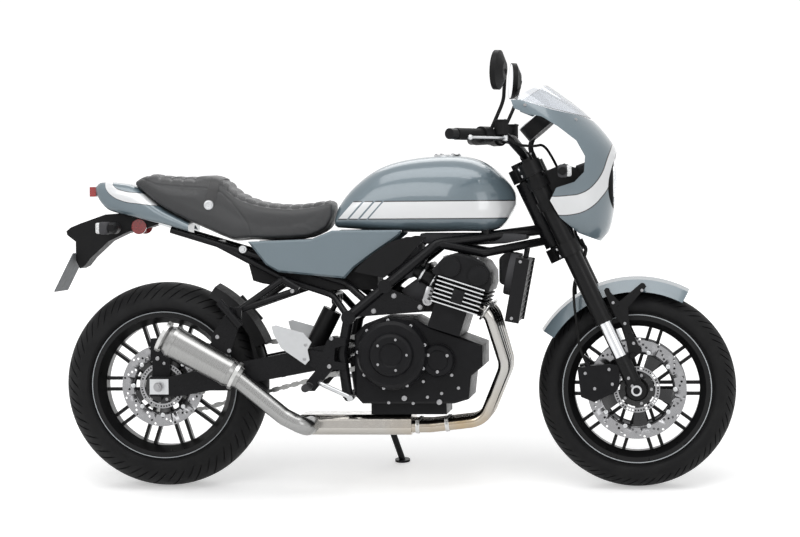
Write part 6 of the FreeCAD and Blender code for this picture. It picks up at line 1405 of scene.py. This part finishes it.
def throttles():
    """Throttle bodies with the rail across them, and the bands round their hoses."""
    (x, z), (ahead, up) = THROTTLE_PLACE, THROTTLE_WAY
    way = (ahead, 0, up)
    places = [BLOCK @ facing((x, y, z), way) for y in THROTTLE_Y]
    bodies = repeated(turned(THROTTLE_BARREL, 40), places, "throttle_bodies")
    rail = turned(FUEL_RAIL, 24)
    rail.data.transform(BLOCK @ Matrix.Translation(Vector(FUEL_RAIL_PLACE) * MM))
    finish(join([bodies, rail], "throttle_bodies"), "chassis", "fork_black")
    places = [BLOCK @ facing((x + ahead * along, y, z + up * along), way)
              for y in THROTTLE_Y for along in THROTTLE_BANDS_ALONG]
    finish(repeated(turned(THROTTLE_BAND, 40), places, "throttle_bands"), "chassis", "satin_alloy")


def thermostat():
    """Thermostat housing with its neck, on the right of the cylinders."""
    neck = box_of(THERMOSTAT_NECK, 4)
    neck.data.transform(Matrix.Translation(Vector(NECK_PLACE) * MM))
    house = join([turned(THERMOSTAT_CAP, 36), neck], "thermostat_housing")
    house.data.transform(BLOCK @ facing(THERMOSTAT_PLACE, RIGHT))
    finish(house, "chassis", "bolt_steel")


def plug_blocks():
    """Blocks in the middle of the fins on both sides."""
    blocks = []
    x, y, z = PLUG_BLOCK_PLACE
    for side in (-1, 1):
        block = box_of(PLUG_BLOCK, 2.5)
        block.data.transform(BLOCK @ Matrix.Translation(Vector((x, side * y, z)) * MM))
        blocks.append(block)
    finish(join(blocks, "plug_blocks"), "chassis", "cam_black")


def exhaust_fittings():
    """Flanges at the ports, clamps on the headers and bands round the muffler."""
    x, z = PORT_PLACE
    places = [BLOCK @ facing((x, y, z), PORT_WAY, math.pi / 2) for y in PORT_Y]
    finish(repeated(turned(PORT_FLANGE, 32), places, "port_flanges"), "chassis", "satin_steel")
    places = [facing((x, y, z), way, -0.6) for (x, z), way in HEADER_CLAMPS for y in HEADER_Y]
    finish(repeated(pipe_clamp(18.6), places, "header_clamps"), "chassis", "satin_steel")
    bands = []
    for share, radius in MUFFLER_BANDS:
        band = turned([(radius - 1, -5.5), (radius + 1.4, -5.5), (radius + 1.4, 5.5), (radius - 1, 5.5)], 64)
        band.data.transform(facing(Vector(MUFFLER_START) + Vector(MUFFLER_RUN) * share, MUFFLER_RUN))
        bands.append(band)
    finish(join(bands, "muffler_bands"), "chassis", "satin_steel")


def radiator_fans():
    """Two fans on the back of the radiator."""
    blade = box_of((36, 3, 17), 1)
    blade.data.transform(Matrix.Translation((0.037, 0.015, 0)) @ Matrix.Rotation(math.radians(35), 4, "X"))
    blades = [copied(blade, Matrix.Rotation(turn, 4, "Y")) for turn in turns(FAN_BLADES)]
    fan = join([turned(FAN, 56)] + blades, "fan")
    bpy.data.objects.remove(blade)
    x, z = FAN_PLACE
    places = [facing(met_at(("radiator",), (x, y, z), FAN_WAY) + Vector((1, 0, 0)), FAN_WAY)
              for y in (-FAN_Y, FAN_Y)]
    finish(repeated(fan, places, "radiator_fans"), "chassis", "black_plastic")


class MOTORCYCLE_OT_engine(Step, bpy.types.Operator):
    """Throttle bodies and their air box, fans, port flanges, pipe clamps and the blocks at the plugs"""
    bl_idname = "motorcycle.engine"
    bl_label = "Engine"

    def build(self, sizes):
        throttles()
        intake = join([side_slab(INTAKE_BOX, 108, 8), side_slab(AIR_VALVES, 98, 6)], "intake_box")
        tray = side_slab(WIRING_TRAY, 74, 6)
        tray.name = "wiring_tray"
        for box in (intake, tray):
            finish(box, "chassis", "black_plastic")
        thermostat()
        plug_blocks()
        exhaust_fittings()
        radiator_fans()
        shroud = side_slab(FAN_SHROUD, 40, 8)
        shroud.name = "fan_shroud"
        finish(shroud, "chassis", "black_plastic")


# Controls
SWITCH_PLACE, SWITCH_RADIUS, SWITCH_OUTWARD = (295.8, 260.3, 1070), 24, 21
BAR_WAY = (-0.532, 0.847)
SWITCH_KEYS = ((-11, 8, (9, 6, 7)), (2, 9, (11, 6, 6)), (12, -3, (8, 6, 9)), (-4, -6, (12, 6, 7)))
STOP_ALONG = 2
CUP_PLACE, CUP_TOP = (331.4, 253.8), 1109
CUP_LID = [(0, 0), (22.4, 0), (23, 1), (23, 4), (22, 5.4), (15, 5.6), (14, 4.8), (0, 4.8)]


class MOTORCYCLE_OT_controls(Step, bpy.types.Operator):
    """Switches on the bars and lids on the fluid cups"""
    bl_idname = "motorcycle.controls"
    bl_label = "Controls"

    def build(self, sizes):
        keys, lids, stops = [], [], []
        back, across = BAR_WAY
        x, y, z = SWITCH_PLACE
        for side in (-1, 1):
            out = Vector((back, side * across, 0))
            rider = Vector((-across, side * back, 0))
            middle = Vector((x, side * y, z)) + out * SWITCH_OUTWARD
            for along, up, size in SWITCH_KEYS:
                key = box_of(size, 1.6)
                reach = math.sqrt(SWITCH_RADIUS ** 2 - up ** 2)
                key.data.transform(facing(middle + out * along + rider * reach + Vector((0, 0, up)), rider))
                (stops if side < 0 and along == STOP_ALONG else keys).append(key)
            lid = turned(CUP_LID, 40)
            lid.data.transform(facing((CUP_PLACE[0], side * CUP_PLACE[1], CUP_TOP), UP))
            lids.append(lid)
        finish(join(keys, "switch_keys"), "steering", "satin_grey")
        finish(join(stops, "stop_switch"), "steering", "needle_red")
        finish(join(lids, "cup_lids"), "steering", "dial_black")


# Fasteners
BOSS_TURN = 2 * math.pi * 0.4 / 9
COVER_RINGS = (((-7, -170, 414), 104, 9, RIGHT, 1.0, BOSS_TURN),
               ((118, 170, 400), 74, 9, LEFT, 1.0, BOSS_TURN),
               ((130, -170, 394), 33, 3, RIGHT, 1.0, 0.5),
               ((-7, -200, 414), 48, 5, RIGHT, 0.8, 0.0))
CAP_RING = ((150, 0, 1016), 35, 6)
HANGER_SCREWS = ((-193, 462), (-200, 377))
PILLION_SCREW = (-313, 605)
RADIATOR_SCREWS = ((380, 690), (352, 520))
CASE_SCREWS = ((84, 330), (-22, 266), (52, 264), (96, 283), (139, 294), (170, 349), (190, 310))
CASE_PLUGS = ((26, 280), (132, 268))
HEEL_GUARD_SCREWS = ((-270, 443), (-274, 400))
MUFFLER_STAY_SCREWS = ((-504, 426), (-540, 468))
CAM_SCREW_Y, PLATE_SCREW_Y = (-150, -60, 60, 150), (-60, 60)
FRAME_NUTS = ((-4, 589), (75, 554), (-66, 543))
YOKE_LEVELS = (474, 740)
CALIPER_SCREWS = ((-58, 48), (-48, 92), (-112, 58), (-118, 112))
BRACE_SCREWS = ((655, 563), (690, 500), (742, 600), (716, 440))
COWL_SCREWS = ((398, 168, 1160), (548, 122, 1116))
AXLE_PLUG = [(0, 0.5), (9.5, 0.5), (10.5, 0), (10.5, -2), (0, -2)]
HUB_RING, SPROCKET_RING = 44, 50


def socket_head():
    """Socket head screw of unit radius that looks along Y."""
    deselect()
    bpy.ops.mesh.primitive_cylinder_add(vertices=12, radius=1, depth=1.1, location=(0, 0.15, 0),
                                        rotation=(-math.pi / 2, 0, 0))
    obj = active()
    pick(obj)
    bpy.ops.object.transform_apply(location=True, rotation=True, scale=True)
    bpy.ops.object.mode_set(mode="EDIT")
    bpy.ops.mesh.select_mode(type="FACE")
    choose(obj, lambda normal: normal.y > 0.9)
    bpy.ops.mesh.extrude_region_move(TRANSFORM_OT_translate={"value": (0, 0.14, 0)})
    bpy.ops.transform.resize(value=(0.86, 1, 0.86))
    bpy.ops.mesh.inset(thickness=0.30)
    bpy.ops.mesh.extrude_region_move(TRANSFORM_OT_translate={"value": (0, -0.5, 0)})
    bpy.ops.object.mode_set(mode="OBJECT")
    return obj


def hex_head():
    """Hexagon nut on its washer, of unit radius, that looks along Y."""
    washer = turned([(0, -300), (1180, -300), (1180, 120), (1120, 170), (0, 170)], 20)
    deselect()
    bpy.ops.mesh.primitive_cylinder_add(vertices=6, radius=1, depth=0.8, location=(0, 0.5, 0),
                                        rotation=(-math.pi / 2, 0, 0))
    obj = active()
    pick(obj)
    bpy.ops.object.transform_apply(location=True, rotation=True, scale=True)
    modifier(obj, "BEVEL", width=0.08, segments=1)
    end = turned([(0, 800), (520, 800), (520, 1150), (440, 1230), (0, 1230)], 14)
    return join([obj, washer, end], "hex")


def fastened(name, body, pattern, spots, frame_of_spots=Matrix.Identity(4)):
    """Fasteners seated on the nodes that they hold: each spot is nodes, place, direction and radius."""
    places = []
    for index, (nodes, place, direction, radius) in enumerate(spots):
        seat = met_at(nodes, place, direction, frame_of_spots)
        places.append(facing(seat, direction, 0.7 * index) @ Matrix.Scale(radius * MM, 4))
    finish(repeated(pattern, places, name), body, "bolt_steel", frame_of_spots, smooth=35)


def sides(nodes, x, y, z, radius):
    """The same spot on the right and on the left."""
    return [(nodes, (x, -y, z), RIGHT, radius), (nodes, (x, y, z), LEFT, radius)]


def ring_of(nodes, centre, reach, count, direction, radius, start=0.0):
    """Spots round a centre on a side of the machine."""
    return [(nodes, around(centre, reach, turn + start, centre[1]), direction, radius)
            for turn in turns(count)]


def body_spots(plain, small):
    """Screws of the engine, hangers, radiator, plate, tank cap and rear caliper."""
    spots = []
    for centre, reach, count, direction, share, start in COVER_RINGS:
        spots += ring_of(("engine_covers",), centre, reach, count, direction, small * share, start)
    (x, y, z), reach, count = CAP_RING
    for turn in turns(count):
        place = (x + reach * math.cos(turn), y + reach * math.sin(turn), z)
        spots.append((("filler_cap",), place, UP, small * 0.8))
    for x, z in HANGER_SCREWS:
        spots += sides(("peg_hangers",), x, 166, z, plain)
    x, z = PILLION_SCREW
    spots += sides(("pillion_hangers",), x, 150, z, plain)
    for x, z in RADIATOR_SCREWS:
        spots += sides(("radiator",), x, 160, z, small)
    spots.append((("rear_caliper",), (-735, -122, 400), RIGHT, plain))
    spots.append((("rear_caliper",), (-715, -122, 385), RIGHT, small))
    for y in PLATE_SCREW_Y:
        spots.append((("number_plate",), (-1013, y, 705), (-0.89, 0, 0.45), small))
    for x, z in MUFFLER_STAY_SCREWS:
        spots.append((("pillion_hangers",), (x, -176, z), RIGHT, plain))
    for y in CAM_SCREW_Y:
        spots.append((("cam_cover",), (152, y, 705), (-0.35, 0, 0.94), small))
        spots.append((("cam_cover",), (250, y, 695), (0.5, 0, 0.86), small))
    for x, z in CASE_SCREWS:
        spots += sides(("crankcase", "engine_covers"), x, 150, z, small)
    for x, z in HEEL_GUARD_SCREWS:
        spots += sides(("foot_controls",), x, 160, z, small)
    for x, z in CASE_PLUGS:
        spots += sides(("crankcase", "engine_covers"), x, 150, z, plain * 1.3)
    return spots


def fork_spots(small):
    """Screws of the yokes, calipers and fork feet, in the fork's own frame."""
    spots = []
    for level in YOKE_LEVELS:
        for up in (-11, 11):
            spots += [(("fork_yokes",), (-30, y, level + up), (-1, 0, 0), small) for y in (-105, 105)]
    for ahead, up in CALIPER_SCREWS:
        spots += [(("front_calipers",), (ahead, side * 117, up), (0, side, 0), small) for side in (-1, 1)]
    for up in (18, 44):
        spots += [(("fork_feet",), (-6, side * 128, up), (0, side, 0), small) for side in (-1, 1)]
    return spots


def steering_spots(small):
    """Screws of the front mudguard's braces, the cowl, the bar clamps and the cup lids."""
    spots = []
    for x, z in BRACE_SCREWS:
        spots += sides(("mudguard_braces", "front_mudguard"), x, 85, z, small)
    for x, y, z in COWL_SCREWS:
        spots += sides(("front_cowl",), x, y, z, small)
    for y in (-45, 45):
        spots += [(("fork_yokes",), (x, y, 1022), (-0.34, 0, 0.94), small) for x in (382, 404)]
    x, y = CUP_PLACE
    for side in (-1, 1):
        for turn in (0.4, 0.4 + math.pi):
            place = (x + 13 * math.cos(turn), side * y + 13 * math.sin(turn), CUP_TOP + 4)
            spots.append((("cup_lids",), place, UP, small * 0.7))
    return spots


class MOTORCYCLE_OT_fasteners(Step, bpy.types.Operator):
    """Socket screws and nuts on the covers, mounts, hangers, calipers, fork and plates"""
    bl_idname = "motorcycle.fasteners"
    bl_label = "Fasteners"

    def build(self, sizes):
        plain = sizes.bolt_radius / MM
        small = plain * 0.75
        fastened("body_screws", "chassis", socket_head(), body_spots(plain, small))
        spots = [spot for x, z in FRAME_NUTS for spot in sides(("main_frame",), x, 146, z, plain)]
        fastened("frame_nuts", "chassis", hex_head(), spots)
        fastened("fork_screws", "steering", socket_head(), fork_spots(small), FORK)
        fastened("fork_front_screws", "steering", socket_head(), steering_spots(small))
        plugs = []
        for side in (-1, 1):
            plug = turned(AXLE_PLUG, 36)
            out = (0, side, 0)
            place = met_at(("front_axle",), (FRONT_HUB[0], side * 139, FRONT_HUB[2]), out)
            plug.data.transform(facing(place, out))
            plugs.append(plug)
        finish(join(plugs, "front_axle_plugs"), "steering", "dial_black")
        spots = sides(("rear_axle",), REAR_HUB[0], 160, REAR_HUB[2], 13)
        fastened("axle_nuts", "chassis", hex_head(), spots)
        hub = ("front_wheel", "front_discs")
        spots = [(hub, around(FRONT_HUB, HUB_RING, turn, side * 76), (0, side, 0), small)
                 for turn in turns(5) for side in (-1, 1)]
        fastened("front_hub_screws", "front_wheel", socket_head(), spots)
        spots = ring_of(("rear_disc",), (REAR_HUB[0], -102, REAR_HUB[2]), HUB_RING, 5, RIGHT, small)
        fastened("rear_hub_screws", "rear_wheel", socket_head(), spots)
        spots = ring_of(("rear_sprocket",), (REAR_HUB[0], 112, REAR_HUB[2]), SPROCKET_RING, 6, LEFT, plain)
        fastened("sprocket_nuts", "rear_wheel", hex_head(), spots)


STEPS = (MOTORCYCLE_OT_stage, MOTORCYCLE_OT_finishes, MOTORCYCLE_OT_tyres, MOTORCYCLE_OT_seat,
         MOTORCYCLE_OT_brakes, MOTORCYCLE_OT_lamps, MOTORCYCLE_OT_dials, MOTORCYCLE_OT_engine,
         MOTORCYCLE_OT_controls, MOTORCYCLE_OT_fasteners)


class MOTORCYCLE_PT_steps(bpy.types.Panel):
    """Steps of the motorcycle's looks"""
    bl_label = "Motorcycle"
    bl_idname = "MOTORCYCLE_PT_steps"
    bl_space_type = "VIEW_3D"
    bl_region_type = "UI"
    bl_category = "Motorcycle"

    def draw(self, context):
        for name in Sizes.__annotations__:
            self.layout.prop(context.scene.cafe_racer_sizes, name)
        for step in STEPS:
            self.layout.operator(step.bl_idname)


CLASSES = (Sizes,) + STEPS + (MOTORCYCLE_PT_steps,)


def register():
    """Register the sizes, the operators and the panel."""
    for item in CLASSES:
        bpy.utils.register_class(item)
    bpy.types.Scene.cafe_racer_sizes = bpy.props.PointerProperty(type=Sizes)


def unregister():
    """Take them out again."""
    del bpy.types.Scene.cafe_racer_sizes
    for item in reversed(CLASSES):
        bpy.utils.unregister_class(item)


def main():
    """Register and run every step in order."""
    register()
    for step in STEPS:
        group, name = step.bl_idname.split(".")
        getattr(getattr(bpy.ops, group), name)()
    deselect()


if __name__ == "__main__":
    main()
